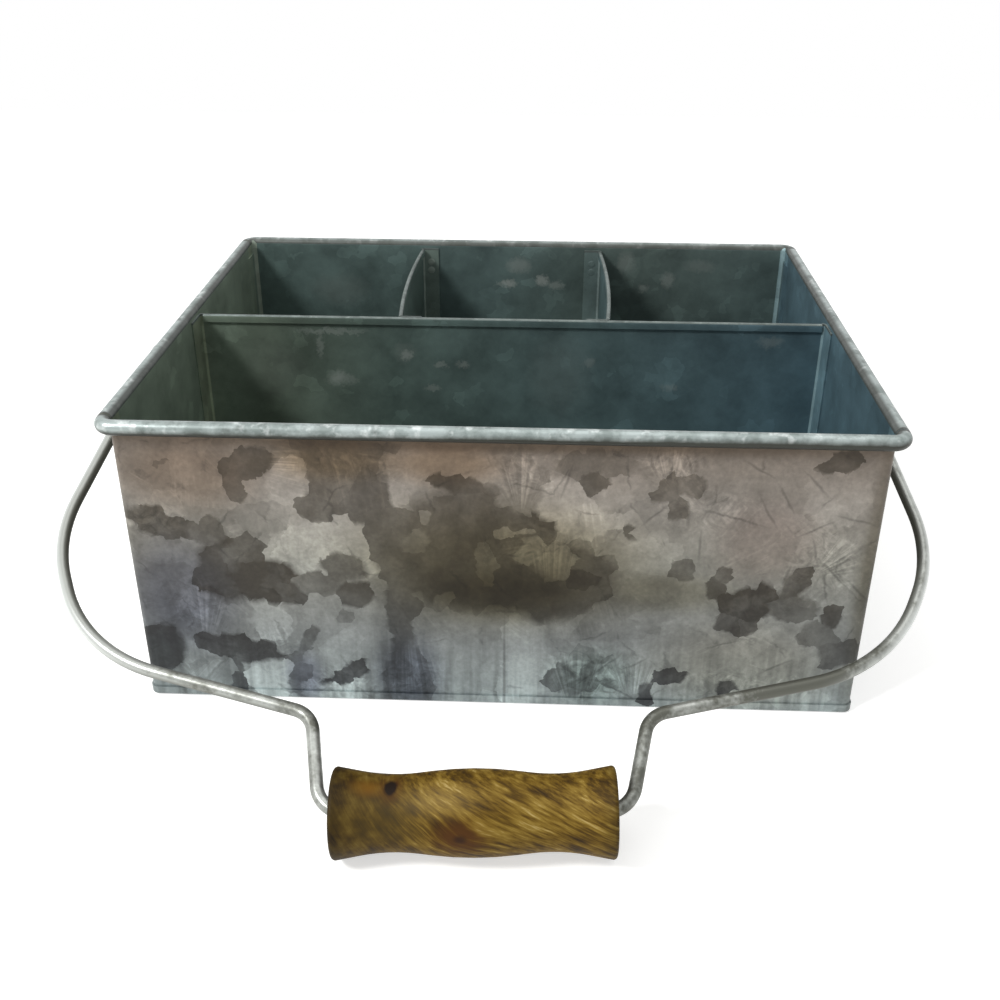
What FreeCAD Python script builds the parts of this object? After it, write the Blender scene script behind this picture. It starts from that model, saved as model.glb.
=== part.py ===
import FreeCAD, Part
import math
import os
import re

import Sketcher

# Utensil caddy of galvanised sheet with a wire bail and a turned wooden grip.
# Millimetres. Origin at the middle of the underside, +Z up, the front is -Y and the left is -X.

# Driving sizes, each kept in one cell of the size sheet.
SIZES = {
    # The box over all, and its sheet
    "overall_width": 280.0,
    "overall_depth": 230.0,
    "overall_height": 118.0,
    "gauge": 0.6,
    "bend_radius": 2.0,
    # The rolled rim and the wire in it
    "rim_wire_dia": 4.2,
    "roll_clearance": 0.1,
    "neck": 1.4,
    "curl_tuck_angle": 40.0,
    "stub": 0.6,
    "slit": 0.8,
    "rim_wire_butt": 1.0,
    # Lapped corner seams
    "lap": 9.0,
    "lap_clearance": 0.4,
    "joggle": 1.2,
    # The bottom
    "lip_height": 3.4,
    "lip_clearance": 0.1,
    # The dividers
    "divider_drop": 3.6,
    "divider_setback": 7.0,
    "divider_flange": 13.0,
    "divider_bend": 1.8,
    "hem": 3.4,
    "left_cross_offset": 48.0,
    "right_cross_offset": 42.8,
    "cross_front_flange": 10.0,
    "cross_rear_flange": 8.5,
    "cross_bow": 1.8,
    # The ears that hold the bail
    "pivot_drop": 17.0,
    "ear_width": 30.0,
    "ear_height": 18.0,
    "ear_gauge": 1.0,
    "ear_hump_width": 14.0,
    "ear_standoff": 4.4,
    "ear_bend": 1.0,
    "pivot_clearance": 0.08,
    # The bail
    "bail_wire_dia": 4.6,
    "bail_reach": 205.6,
    "bail_sway": 4.3,
    "bail_skew": 3.6,
    "arm_gap": 5.8,
    "bail_bulge": 17.7,
    "shoulder_inset": 22.3,
    "knee_offset": 11.8,
    "leg_offset": 4.8,
    "arm_bend": 3.0,
    "elbow_bend": 62.5,
    "shoulder_bend": 60.5,
    "knee_bend": 9.8,
    "leg_bend": 11.0,
    "head_dia": 7.0,
    "head_thickness": 1.5,
    "head_play": 0.5,
    # The grip, whose waist and belly are given at the corners before they are rounded
    "grip_length": 91.4,
    "grip_end_dia": 30.0,
    "grip_waist_dia": 23.2,
    "grip_belly_dia": 29.7,
    "grip_waist_offset": 27.5,
    "grip_waist_bend": 62.0,
    "grip_belly_bend": 116.0,
    "grip_edge_bend": 1.2,
    "grip_bore_clearance": 0.08,
    "grip_mouth_dia": 8.6,
    "grip_mouth_depth": 6.0,
}

# How far along the bail's reach its elbow, shoulder and knee lie.
ELBOW_SHARE = 0.491
SHOULDER_SHARE = 0.727
KNEE_SHARE = 0.831

# Sizes worked out from the driving ones.
DERIVED = {
    "roll_dia": "rim_wire_dia + 2 * roll_clearance + 2 * gauge",
    "roll_radius": "roll_dia / 2",
    "roll_bore": "roll_radius - gauge",
    "inner_x": "overall_width / 2 - roll_dia",
    "inner_y": "overall_depth / 2 - roll_dia",
    "wall_x": "inner_x + gauge",
    "wall_y": "inner_y + gauge",
    "outer_bend": "bend_radius + gauge",
    "rim_x": "overall_width / 2 - roll_radius",
    "rim_y": "overall_depth / 2 - roll_radius",
    "rim_z": "overall_height - roll_radius",
    "rim_bend": "bend_radius + roll_radius",
    "neck_z": "overall_height - roll_dia - neck",
    "leg_end": "inner_y - bend_radius - lap",
    "stub_end": "inner_y - bend_radius - stub",
    "side_roll_end": "stub_end - slit",
    "lap_end": "leg_end + lap - lap_clearance",
    "lap_top": "neck_z + neck / 2",
    "lip_x": "wall_x + lip_clearance",
    "lip_y": "wall_y + lip_clearance",
    "lip_bend": "outer_bend + lip_clearance",
    "divider_top": "overall_height - divider_drop",
    "hem_z": "divider_top - hem",
    "hem_thickness": "3 * gauge",
    "cross_span": "inner_y - divider_setback",
    "pivot_z": "overall_height - pivot_drop",
    "ear_face": "wall_x + ear_standoff",
    "ear_inside": "ear_face - ear_gauge",
    "hump_half": "ear_hump_width / 2",
    "wire_radius": "bail_wire_dia / 2",
    "arm_x": "ear_face + arm_gap + wire_radius",
    "elbow_x": "arm_x + bail_bulge",
    "shoulder_x": "elbow_x - shoulder_inset",
    "grip_half": "grip_length / 2",
    "knee_x": "grip_half + knee_offset",
    "leg_x": "grip_half + leg_offset",
    "pin_tip": "ear_inside - head_play - head_thickness",
    "grip_radius": "grip_end_dia / 2",
    "right_reach": "bail_reach - bail_skew / 2",
    "left_reach": "bail_reach + bail_skew / 2",
    "grip_tilt": "atan(bail_skew / (2 * leg_x))",
    "bail_slope": "asin((pivot_z - grip_radius) / (bail_reach + grip_half * sin(grip_tilt)))",
}

WORD = re.compile(r"[a-z_][a-z_0-9]*")
ORIGIN, START, END = -1, 1, 2


def bound(text):
    """The sheet expression for a size written in words."""
    def cell(match):
        word = match.group(0)
        if word in DERIVED:
            return "(" + bound(DERIVED[word]) + ")"
        return "Sizes." + word if word in SIZES else word
    return WORD.sub(cell, text)


def value(owner, text):
    """The number that a size written in words has now."""
    number = owner.evalExpression(bound(text))
    return float(getattr(number, "Value", number))


def make_sheet(doc):
    """The size sheet: a name and a plain number in each row."""
    sheet = doc.addObject("Spreadsheet::Sheet", "Sizes")
    for row, (name, number) in enumerate(SIZES.items(), start=1):
        sheet.set(f"A{row}", name)
        sheet.set(f"B{row}", str(number))
        sheet.setAlias(f"B{row}", name)
    doc.recompute()


def new_body(doc, name):
    """An empty body whose label names its file."""
    body = doc.addObject("PartDesign::Body", name)
    body.Label = name
    return body


def new_sketch(body, name, role, offset="0"):
    """A sketch on one of the body's own planes, moved off it by an offset."""
    sketch = body.newObject("Sketcher::SketchObject", name)
    plane = next(item for item in body.Origin.OriginFeatures if item.Role == role)
    sketch.AttachmentSupport = [(plane, "")]
    sketch.MapMode = "FlatFace"
    sketch.setExpression("AttachmentOffset.Base.z", bound(offset))
    return sketch


def pin(sketch, kind, geometry, end, text):
    """Hold one coordinate of a point at a size from the sheet."""
    constraint = Sketcher.Constraint(kind, ORIGIN, START, geometry, end, value(sketch, text))
    index = sketch.addConstraint(constraint)
    sketch.setExpression(f"Constraints[{index}]", bound(text))


def set_radius(sketch, geometry, text):
    """Hold an arc's or a circle's radius at a size from the sheet."""
    index = sketch.addConstraint(Sketcher.Constraint("Radius", geometry, value(sketch, text)))
    sketch.setExpression(f"Constraints[{index}]", bound(text))


def short_arc(begin, end, centre):
    """The short arc between two points, and which of its ends lies at the first."""
    start_angle = math.atan2(begin.y - centre.y, begin.x - centre.x)
    end_angle = math.atan2(end.y - centre.y, end.x - centre.x)
    circle = Part.Circle(centre, FreeCAD.Vector(0, 0, 1), (begin - centre).Length)
    if (end_angle - start_angle) % math.tau <= math.pi:
        return Part.ArcOfCircle(circle, start_angle, end_angle), START
    return Part.ArcOfCircle(circle, end_angle, start_angle), END


def draw(sketch, corners, bends=None, arcs=None, closed=True):
    """Draw an outline or a path.

    corners lists (x, y) in words. bends gives the radius that rounds a corner, by its number.
    arcs gives (radius, centre x, centre y) for the edge that leaves a corner, by its number.
    """
    arcs = arcs or {}
    base = sketch.GeometryCount
    points = [FreeCAD.Vector(value(sketch, x), value(sketch, y), 0) for x, y in corners]
    edges = len(points) if closed else len(points) - 1
    near = []
    for edge in range(edges):
        begin, end = points[edge], points[(edge + 1) % len(points)]
        if edge in arcs:
            middle = [value(sketch, text) for text in arcs[edge][1:]]
            curve, first = short_arc(begin, end, FreeCAD.Vector(*middle, 0))
        else:
            curve, first = Part.LineSegment(begin, end), START
        sketch.addGeometry(curve)
        near.append(first)
    far = [END if first == START else START for first in near]
    for edge in range(edges if closed else edges - 1):
        after = (edge + 1) % edges
        sketch.addConstraint(
            Sketcher.Constraint("Coincident", base + edge, far[edge], base + after, near[after]))
    for index, (x, y) in enumerate(corners):
        edge, end = (index, near[index]) if index < edges else (edges - 1, far[-1])
        pin(sketch, "DistanceX", base + edge, end, x)
        pin(sketch, "DistanceY", base + edge, end, y)
    for edge, (radius, *_) in arcs.items():
        set_radius(sketch, base + edge, radius)
    for corner, radius in (bends or {}).items():
        sketch.fillet(base + (corner - 1) % edges, END, value(sketch, radius), True, True)
        rounded = max(index for index, item in enumerate(sketch.Geometry)
                      if item.TypeId == "Part::GeomArcOfCircle")
        set_radius(sketch, rounded, radius)


def draw_circle(sketch, x, y, radius):
    """Draw a circle held at its centre and radius."""
    centre = FreeCAD.Vector(value(sketch, x), value(sketch, y), 0)
    circle = Part.Circle(centre, FreeCAD.Vector(0, 0, 1), value(sketch, radius))
    index = sketch.addGeometry(circle)
    pin(sketch, "DistanceX", index, 3, x)
    pin(sketch, "DistanceY", index, 3, y)
    set_radius(sketch, index, radius)


def pad(body, name, sketch, length, side="One side", reverse=False):
    """Raise a sketch by a length."""
    feature = body.newObject("PartDesign::Pad", name)
    feature.Profile = sketch
    feature.SideType = side
    feature.Reversed = reverse
    feature.setExpression("Length", bound(length))
    body.Document.recompute()


def pipe(body, name, profile, path):
    """Run a profile along every edge of a path."""
    body.Document.recompute()
    feature = body.newObject("PartDesign::AdditivePipe", name)
    feature.Profile = profile
    feature.Spine = (path, [f"Edge{number + 1}" for number in range(len(path.Shape.Edges))])
    body.Document.recompute()


def mirrored(side, text):
    """A place in words, on the positive or the negative side."""
    return f"{side} * ({text})"


def draw_curl(sketch, side):
    """Draw the rolled rim's section: a neck of sheet curled outwards round the rim wire."""
    centre = ("inner_x + roll_radius", "rim_z")
    tip = [(f"{centre[0]} - {size} * sin(curl_tuck_angle)", f"rim_z - {size} * cos(curl_tuck_angle)")
           for size in ("roll_radius", "roll_bore")]
    corners = [
        ("inner_x", "neck_z"),
        ("inner_x", "rim_z"),
        (centre[0], "rim_z + roll_radius"),
        ("inner_x + roll_dia", "rim_z"),
        (centre[0], "rim_z - roll_radius"),
        *tip,
        (centre[0], "rim_z - roll_bore"),
        (f"{centre[0]} + roll_bore", "rim_z"),
        (centre[0], "rim_z + roll_bore"),
        ("wall_x", "rim_z"),
        ("wall_x", "neck_z"),
    ]
    middle = (mirrored(side, centre[0]), centre[1])
    arcs = {edge: ("roll_radius", *middle) for edge in (1, 2, 3, 4)}
    arcs.update({edge: ("roll_bore", *middle) for edge in (6, 7, 8, 9)})
    draw(sketch, [(mirrored(side, x), z) for x, z in corners], arcs=arcs)


def make_end_wall(doc, name, side):
    """Front or back panel: it turns both corners, laps along the sides and ends in the roll."""
    body = new_body(doc, name)
    plan = new_sketch(body, name + "_plan", "XY_Plane", "gauge")
    corners = [("-wall_x", "leg_end"), ("-wall_x", "wall_y"), ("wall_x", "wall_y"),
               ("wall_x", "leg_end"), ("inner_x", "leg_end"), ("inner_x", "inner_y"),
               ("-inner_x", "inner_y"), ("-inner_x", "leg_end")]
    bends = {1: "outer_bend", 2: "outer_bend", 5: "bend_radius", 6: "bend_radius"}
    draw(plan, [(x, mirrored(side, y)) for x, y in corners], bends)
    pad(body, name + "_sheet", plan, "neck_z - gauge")
    path = new_sketch(body, name + "_rim_path", "XY_Plane", "rim_z")
    route = [("-rim_x", "stub_end"), ("-rim_x", "rim_y"), ("rim_x", "rim_y"), ("rim_x", "stub_end")]
    draw(path, [(x, mirrored(side, y)) for x, y in route], {1: "rim_bend", 2: "rim_bend"}, closed=False)
    section = new_sketch(body, name + "_rim_section", "XZ_Plane", mirrored(-side, "stub_end"))
    draw_curl(section, -1)
    pipe(body, name + "_rim", section, path)
    return body


def make_side_wall(doc, name, side):
    """Side panel: its ends are joggled in behind the end walls' laps, its top is rolled."""
    body = new_body(doc, name)
    plan = new_sketch(body, name + "_plan", "XY_Plane", "gauge")
    corners = [("inner_x", "-leg_end"), ("wall_x", "-leg_end"), ("wall_x", "leg_end"), ("inner_x", "leg_end")]
    draw(plan, [(mirrored(side, x), y) for x, y in corners])
    pad(body, name + "_sheet", plan, "neck_z - gauge")
    laps = new_sketch(body, name + "_laps_plan", "XY_Plane", "gauge")
    strip = [("inner_x", "leg_end - joggle"), ("inner_x", "lap_end"),
             ("inner_x - gauge", "lap_end"), ("inner_x - gauge", "leg_end - joggle")]
    for end in (-1, 1):
        draw(laps, [(mirrored(side, x), mirrored(end, y)) for x, y in strip])
    pad(body, name + "_laps", laps, "lap_top - gauge")
    section = new_sketch(body, name + "_rim_section", "XZ_Plane")
    draw_curl(section, side)
    pad(body, name + "_rim", section, "2 * side_roll_end", side="Symmetric")
    return body


def rectangle(half_x, half_y):
    """The corners of a rectangle about the origin."""
    return [(f"{x} * ({half_x})", f"{y} * ({half_y})") for x, y in ((-1, -1), (1, -1), (1, 1), (-1, 1))]


def make_base_pan(doc, name):
    """The bottom: a flat plate under the walls with a low lip round their foot."""
    body = new_body(doc, name)
    outside = rectangle("lip_x + gauge", "lip_y + gauge")
    outside_bends = {corner: "lip_bend + gauge" for corner in range(4)}
    plate = new_sketch(body, name + "_plan", "XY_Plane")
    draw(plate, outside, outside_bends)
    pad(body, name + "_plate", plate, "gauge")
    ring = new_sketch(body, name + "_lip_plan", "XY_Plane", "gauge")
    draw(ring, outside, outside_bends)
    draw(ring, rectangle("lip_x", "lip_y"), {corner: "lip_bend" for corner in range(4)})
    pad(body, name + "_lip", ring, "lip_height - gauge")
    return body


def make_rim_wire(doc, name):
    """The stiffening wire in the rolled rim, butted at the middle of the back."""
    body = new_body(doc, name)
    path = new_sketch(body, name + "_path", "XY_Plane", "rim_z")
    route = [("rim_wire_butt / 2", "rim_y"), ("rim_x", "rim_y"), ("rim_x", "-rim_y"),
             ("-rim_x", "-rim_y"), ("-rim_x", "rim_y"), ("-rim_wire_butt / 2", "rim_y")]
    draw(path, route, {corner: "rim_bend" for corner in range(1, 5)}, closed=False)
    section = new_sketch(body, name + "_section", "YZ_Plane", "rim_wire_butt / 2")
    draw_circle(section, "rim_y", "rim_z", "rim_wire_dia / 2")
    pipe(body, name + "_hoop", section, path)
    return body


def make_long_divider(doc, name):
    """Full-width divider: end flanges bent forward along the side walls, a double-folded top."""
    body = new_body(doc, name)
    layers = (("sheet", "gauge", "gauge", "hem_z - gauge"), ("hem", "hem_thickness", "hem_z", "hem"))
    for layer, thickness, low, height in layers:
        plan = new_sketch(body, f"{name}_{layer}_plan", "XY_Plane", low)
        front = f"divider_setback - {thickness}"
        tip = "divider_setback - divider_flange"
        corners = [("-inner_x", tip), ("gauge - inner_x", tip), ("gauge - inner_x", front),
                   ("inner_x - gauge", front), ("inner_x - gauge", tip), ("inner_x", tip),
                   ("inner_x", "divider_setback"), ("-inner_x", "divider_setback")]
        bends = {2: "divider_bend", 3: "divider_bend",
                 6: "divider_bend + gauge", 7: "divider_bend + gauge"}
        draw(plan, corners, bends)
        pad(body, f"{name}_{layer}", plan, height)
    return body


def make_cross_divider(doc, name, side):
    """Short divider to the back wall: flanges towards the middle, a web bowed a little outwards."""
    body = new_body(doc, name)
    offset = "left_cross_offset" if side < 0 else "right_cross_offset"
    layers = (("sheet", "gauge", "gauge", "hem_z - gauge"), ("hem", "hem_thickness", "hem_z", "hem"))
    middle_y = "(inner_y + divider_setback) / 2"
    for layer, thickness, low, height in layers:
        plan = new_sketch(body, f"{name}_{layer}_plan", "XY_Plane", low)
        inside = f"{offset} - {thickness}"
        corners = [(f"{offset} - cross_front_flange", "divider_setback"),
                   (offset, "divider_setback"),
                   (offset, "inner_y"),
                   (f"{offset} - cross_rear_flange", "inner_y"),
                   (f"{offset} - cross_rear_flange", "inner_y - gauge"),
                   (inside, "inner_y - gauge"),
                   (inside, "divider_setback + gauge"),
                   (f"{offset} - cross_front_flange", "divider_setback + gauge")]
        outer_radius = "(cross_bow / 2 + cross_span ^ 2 / (8 * cross_bow))"
        inner_radius = "(cross_bow / 2 + (cross_span - 2 * gauge) ^ 2 / (8 * cross_bow))"
        arcs = {1: (outer_radius, mirrored(side, f"{offset} + cross_bow - {outer_radius}"), middle_y),
                5: (inner_radius, mirrored(side, f"{inside} + cross_bow - {inner_radius}"), middle_y)}
        draw(plan, [(mirrored(side, x), y) for x, y in corners], arcs=arcs)
        pad(body, f"{name}_{layer}", plan, height)
    return body


def make_ear(doc, name, side):
    """Stamped ear on the side wall: a hump with a hole that holds the end of the bail."""
    body = new_body(doc, name)
    plan = new_sketch(body, name + "_plan", "XY_Plane", "pivot_z - ear_height / 2")
    half = [("wall_x", "ear_width / 2"), ("wall_x + ear_gauge", "ear_width / 2"),
            ("wall_x + ear_gauge", "hump_half"), ("ear_face", "hump_half")]
    inside = [("ear_inside", "hump_half - ear_gauge"), ("wall_x", "hump_half - ear_gauge")]
    corners = half + [(x, mirrored(-1, y)) for x, y in reversed(half)]
    corners += [(x, mirrored(-1, y)) for x, y in reversed(inside)] + inside
    small, large = "ear_bend", "ear_bend + ear_gauge"
    bends = {2: small, 3: large, 4: large, 5: small, 8: large, 9: small, 10: small, 11: large}
    draw(plan, [(mirrored(side, x), y) for x, y in corners], bends)
    pad(body, name + "_hat", plan, "ear_height")
    blank = body.Shape.Volume
    hole = new_sketch(body, name + "_hole_plan", "YZ_Plane")
    draw_circle(hole, "0", "pivot_z", "wire_radius + pivot_clearance")
    cut = body.newObject("PartDesign::Pocket", name + "_hole")
    cut.Profile = hole
    cut.Type = "ThroughAll"
    cut.Reversed = side > 0
    doc.recompute()
    if body.Shape.Volume >= blank:
        raise RuntimeError(name + " has no hole")
    return body


def make_bail_wire(doc, name):
    """The bail: pins in the ears, bowed arms, shoulders and legs, and a rod through the grip.

    It is bent a little to the left, so the left pin is the longer one, and its left leg
    reaches a little further than the right one.
    """
    body = new_body(doc, name)
    path = new_sketch(body, name + "_path", "XY_Plane")
    half = [("arm_x", "0"), ("elbow_x", ELBOW_SHARE), ("shoulder_x", SHOULDER_SHARE),
            ("knee_x", KNEE_SHARE), ("leg_x", "1")]
    loop = [(x, f"-{share} * right_reach") for x, share in half]
    loop += [(mirrored(-1, x), f"-{share} * left_reach") for x, share in reversed(half)]
    route = [("pin_tip", "0"), *((f"{x} - bail_sway", y) for x, y in loop), ("-pin_tip", "0")]
    radii = ["arm_bend", "elbow_bend", "shoulder_bend", "knee_bend", "leg_bend"]
    draw(path, route, dict(enumerate(radii + radii[::-1], start=1)), closed=False)
    section = new_sketch(body, name + "_section", "YZ_Plane", "pin_tip")
    draw_circle(section, "0", "0", "wire_radius")
    pipe(body, name + "_rod", section, path)
    for side, label in ((-1, "left"), (1, "right")):
        head = new_sketch(body, f"{name}_{label}_head_plan", "YZ_Plane", mirrored(side, "pin_tip"))
        draw_circle(head, "0", "0", "head_dia / 2")
        pad(body, f"{name}_{label}_head", head, "head_thickness", reverse=side < 0)
    hang_from_pivot(body)
    return body


def hang_from_pivot(body):
    """Swing the bail down about its pivot until the grip lies on the ground."""
    body.Placement = FreeCAD.Placement(FreeCAD.Vector(), FreeCAD.Rotation(FreeCAD.Vector(1, 0, 0), 1))
    body.setExpression("Placement.Base.z", bound("pivot_z"))
    body.setExpression("Placement.Rotation.Angle", bound("bail_slope"))


def make_wood_grip(doc, name):
    """The turned grip: flared ends, two waists and a belly, bored for the wire."""
    body = new_body(doc, name)
    outline = new_sketch(body, name + "_outline", "XY_Plane")
    half = [("0", "grip_belly_dia / 2"), ("grip_waist_offset", "grip_waist_dia / 2"),
            ("grip_half", "grip_radius"), ("grip_half", "grip_mouth_dia / 2"),
            ("grip_half - grip_mouth_depth", "wire_radius + grip_bore_clearance")]
    corners = half + [(mirrored(-1, x), y) for x, y in reversed(half[1:])]
    bends = {0: "grip_belly_bend", 1: "grip_waist_bend", 2: "grip_edge_bend",
             7: "grip_edge_bend", 8: "grip_waist_bend"}
    draw(outline, corners, bends)
    turned = body.newObject("PartDesign::Revolution", name + "_turned")
    turned.Profile = outline
    axis = next(item for item in body.Origin.OriginFeatures if item.Role == "X_Axis")
    turned.ReferenceAxis = (axis, [""])
    place = "vector(-bail_sway; -bail_reach * cos(bail_slope); pivot_z - bail_reach * sin(bail_slope))"
    turn = "rotation(vector(0; -sin(bail_slope); cos(bail_slope)); grip_tilt)"
    body.setExpression("Placement", bound(f"placement({place}; {turn})"))
    doc.recompute()
    return body


def check(doc, bodies):
    """Stop if an object failed, a sketch is loose or a body isn't one valid solid."""
    for item in doc.Objects:
        if "Invalid" in item.State or "Error" in item.State:
            raise RuntimeError(f"{item.Label} failed: {item.State}")
        if item.isDerivedFrom("Sketcher::SketchObject") and not item.FullyConstrained:
            raise RuntimeError(f"{item.Label} is not fully held")
    for body in bodies:
        shape = body.Shape
        if shape.isNull() or not shape.isValid() or len(shape.Solids) != 1:
            raise RuntimeError(f"{body.Label} is not one valid solid")


def main():
    """Build every piece, check it and write it."""
    doc = FreeCAD.newDocument("UtensilCaddy")
    make_sheet(doc)
    bodies = [
        make_end_wall(doc, "front_wall", -1),
        make_end_wall(doc, "back_wall", 1),
        make_side_wall(doc, "left_wall", -1),
        make_side_wall(doc, "right_wall", 1),
        make_base_pan(doc, "base_pan"),
        make_rim_wire(doc, "rim_wire"),
        make_long_divider(doc, "long_divider"),
        make_cross_divider(doc, "left_cross_divider", -1),
        make_cross_divider(doc, "right_cross_divider", 1),
        make_ear(doc, "left_ear", -1),
        make_ear(doc, "right_ear", 1),
        make_bail_wire(doc, "bail_wire"),
        make_wood_grip(doc, "wood_grip"),
    ]
    doc.recompute()
    check(doc, bodies)
    os.makedirs("parts", exist_ok=True)
    for body in bodies:
        body.Shape.exportStep(os.path.join("parts", body.Label + ".step"))
        print(f"{body.Label}: {body.Shape.Volume:.1f} cubic mm")


main()
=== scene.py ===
"""A galvanised utensil caddy with a bail handle and a turned wooden grip."""

import logging
import math
from abc import ABC, abstractmethod
from dataclasses import dataclass, field
from enum import Enum
from functools import partial, reduce
from typing import Any, Sequence

import bmesh
import bpy
from bmesh.types import BMEdge, BMesh, BMFace, BMVert
from mathutils import Matrix, Vector, noise


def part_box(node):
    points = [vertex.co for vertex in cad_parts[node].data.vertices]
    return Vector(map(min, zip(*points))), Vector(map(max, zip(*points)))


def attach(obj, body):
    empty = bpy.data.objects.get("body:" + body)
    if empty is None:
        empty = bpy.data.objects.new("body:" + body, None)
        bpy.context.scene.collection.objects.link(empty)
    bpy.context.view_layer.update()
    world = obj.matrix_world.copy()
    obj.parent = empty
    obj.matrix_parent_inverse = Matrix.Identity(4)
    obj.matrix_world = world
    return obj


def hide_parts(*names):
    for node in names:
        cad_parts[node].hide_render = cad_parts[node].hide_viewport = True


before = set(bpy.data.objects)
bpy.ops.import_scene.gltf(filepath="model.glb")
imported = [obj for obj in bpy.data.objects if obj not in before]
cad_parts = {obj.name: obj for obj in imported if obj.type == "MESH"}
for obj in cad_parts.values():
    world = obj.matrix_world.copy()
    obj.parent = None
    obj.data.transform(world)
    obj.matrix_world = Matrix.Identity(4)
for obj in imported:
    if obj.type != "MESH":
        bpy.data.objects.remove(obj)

LOG = logging.getLogger("caddy")
UP = Vector((0.0, 0.0, 1.0))
MM = 0.001
BAIL_SLOPE = math.radians(24.51945)
ALL = "all outputs"
SHARP_ABOVE = math.radians(38.0)
WHITE = (1.0, 1.0, 1.0, 1.0)


class End(Enum):
    """The two long walls, by the side of the Y axis that they stand on."""

    FRONT = -1
    BACK = 1


class Side(Enum):
    """The two short walls, by the side of the X axis that they stand on."""

    LEFT = -1
    RIGHT = 1


class Slot(Enum):
    """The record's material slots."""

    SHEET = "galvanised_sheet"
    WIRE = "zinc_wire"
    WOOD = "turned_wood"


@dataclass(frozen=True)
class Leg:
    """One stretch of a folded line: a straight in millimetres, then a bend in radians."""

    length: float
    radius: float = 0.0
    turn: float = 0.0


def fold_line(corners: Sequence[Vector], radii: Sequence[float], axis: Vector) -> list[Leg]:
    """Turn the sharp corners of a line into straights and bends.

    Args:
        corners: The line's corners, its two ends included.
        radii: The bend radius at each corner between the ends.
        axis: The direction that the line's plane faces.

    Returns:
        A leg for each straight, with the bend that follows it.
    """
    legs, used = [], 0.0
    for i, radius in enumerate(radii, start=1):
        before, after = corners[i] - corners[i - 1], corners[i + 1] - corners[i]
        turn = math.atan2(axis.dot(before.cross(after)), before.dot(after))
        trim = radius * math.tan(abs(turn) / 2)
        legs.append(Leg(before.length - used - trim, radius, turn))
        used = trim
    legs.append(Leg((corners[-1] - corners[-2]).length - used))
    return legs


class Run:
    """A point or section that is carried along straights and bends, leaving its trace as a mesh."""

    def __init__(self, bm: BMesh, carried: Sequence[Any], place: Vector, heading: Vector, axis: Vector) -> None:
        """Start a run.

        Args:
            bm: The mesh that the trace goes into.
            carried: The vertices and edges that move along.
            place: The point that the bends' radii are counted from.
            heading: The direction of the first straight.
            axis: The direction that bends turn about; a positive turn is anticlockwise.
        """
        self.bm = bm
        self.carried = list(carried)
        self.place = place.copy()
        self.heading = heading.normalized()
        self.axis = axis.normalized()

    def straight(self, length: float, steps: int = 1) -> None:
        """Carry on in a straight line.

        Args:
            length: How far, in millimetres.
            steps: The number of rows of faces.
        """
        if length <= 0.0:
            return
        made = bmesh.ops.spin(
            self.bm, geom=self.carried, cent=self.place, axis=self.axis,
            dvec=self.heading * (length / steps), angle=0.0, steps=steps,
        )
        self.carried = made["geom_last"]
        self.place += self.heading * length

    def bend(self, radius: float, turn: float, steps: int) -> None:
        """Carry on round a bend.

        Args:
            radius: The bend's radius at the run's place; 0 only turns the heading.
            turn: The angle in radians.
            steps: The number of rows of faces.
        """
        spun = Matrix.Rotation(turn, 3, self.axis)
        if radius > 0.0:
            centre = self.place + self.axis.cross(self.heading) * math.copysign(radius, turn)
            made = bmesh.ops.spin(
                self.bm, geom=self.carried, cent=centre, axis=self.axis,
                dvec=(0.0, 0.0, 0.0), angle=turn, steps=steps,
            )
            self.carried = made["geom_last"]
            self.place = centre + spun @ (self.place - centre)
        self.heading = spun @ self.heading

    def follow(self, legs: Sequence[Leg], pitch: float, facet: float) -> None:
        """Carry on along the legs of a folded line.

        Args:
            legs: The straights and bends.
            pitch: The longest row of a straight, in millimetres.
            facet: The longest row of a bend, in degrees.
        """
        for leg in legs:
            self.straight(leg.length, max(1, round(leg.length / pitch)))
            if leg.turn:
                self.bend(leg.radius, leg.turn, max(2, round(abs(math.degrees(leg.turn)) / facet)))

    def corner(self, height: float) -> BMVert:
        """The carried vertex on the run's own upright line that is nearest to a height."""
        points = [v for g in self.carried for v in (g.verts if isinstance(g, BMEdge) else [g])]
        return min(points, key=lambda v: (v.co - Vector((self.place.x, self.place.y, height))).length)

    def edges(self) -> list[BMEdge]:
        """The edges that are being carried."""
        return [g for g in self.carried if isinstance(g, BMEdge)]

    def keep(self, low: float, high: float) -> None:
        """Go on with only the upright edges between two heights on the run's own line."""
        self.carried = [
            e for e in self.edges()
            if all(low - 0.01 < v.co.z < high + 0.01 for v in e.verts)
            and all((v.co.xy - self.place.xy).length < 0.01 for v in e.verts)
        ]


def new_edges(bm: BMesh, known: set[BMEdge]) -> list[BMEdge]:
    """The edges that a mesh has gained since the known ones were listed."""
    return [e for e in bm.edges if e not in known]


def thicken(bm: BMesh, gauge: float, probe: Vector, facing: Vector) -> tuple[list[BMFace], list[BMFace]]:
    """Give a drawn sheet its thickness, away from the side that it was drawn on.

    Args:
        bm: The drawn sheet.
        gauge: The thickness in millimetres.
        probe: A point near a face whose outward direction is known.
        facing: The direction that the drawn side of that face looks in.

    Returns:
        The faces of the drawn side and those of the other side.
    """
    drawn = bm.faces[:]
    bmesh.ops.recalc_face_normals(bm, faces=drawn)
    near = min(drawn, key=lambda f: (f.calc_center_median() - probe).length)
    if near.normal.dot(facing) < 0.0:
        bmesh.ops.reverse_faces(bm, faces=drawn)
    made = bmesh.ops.solidify(bm, geom=drawn, thickness=gauge)
    return drawn, [g for g in made["geom"] if isinstance(g, BMFace)]


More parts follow.
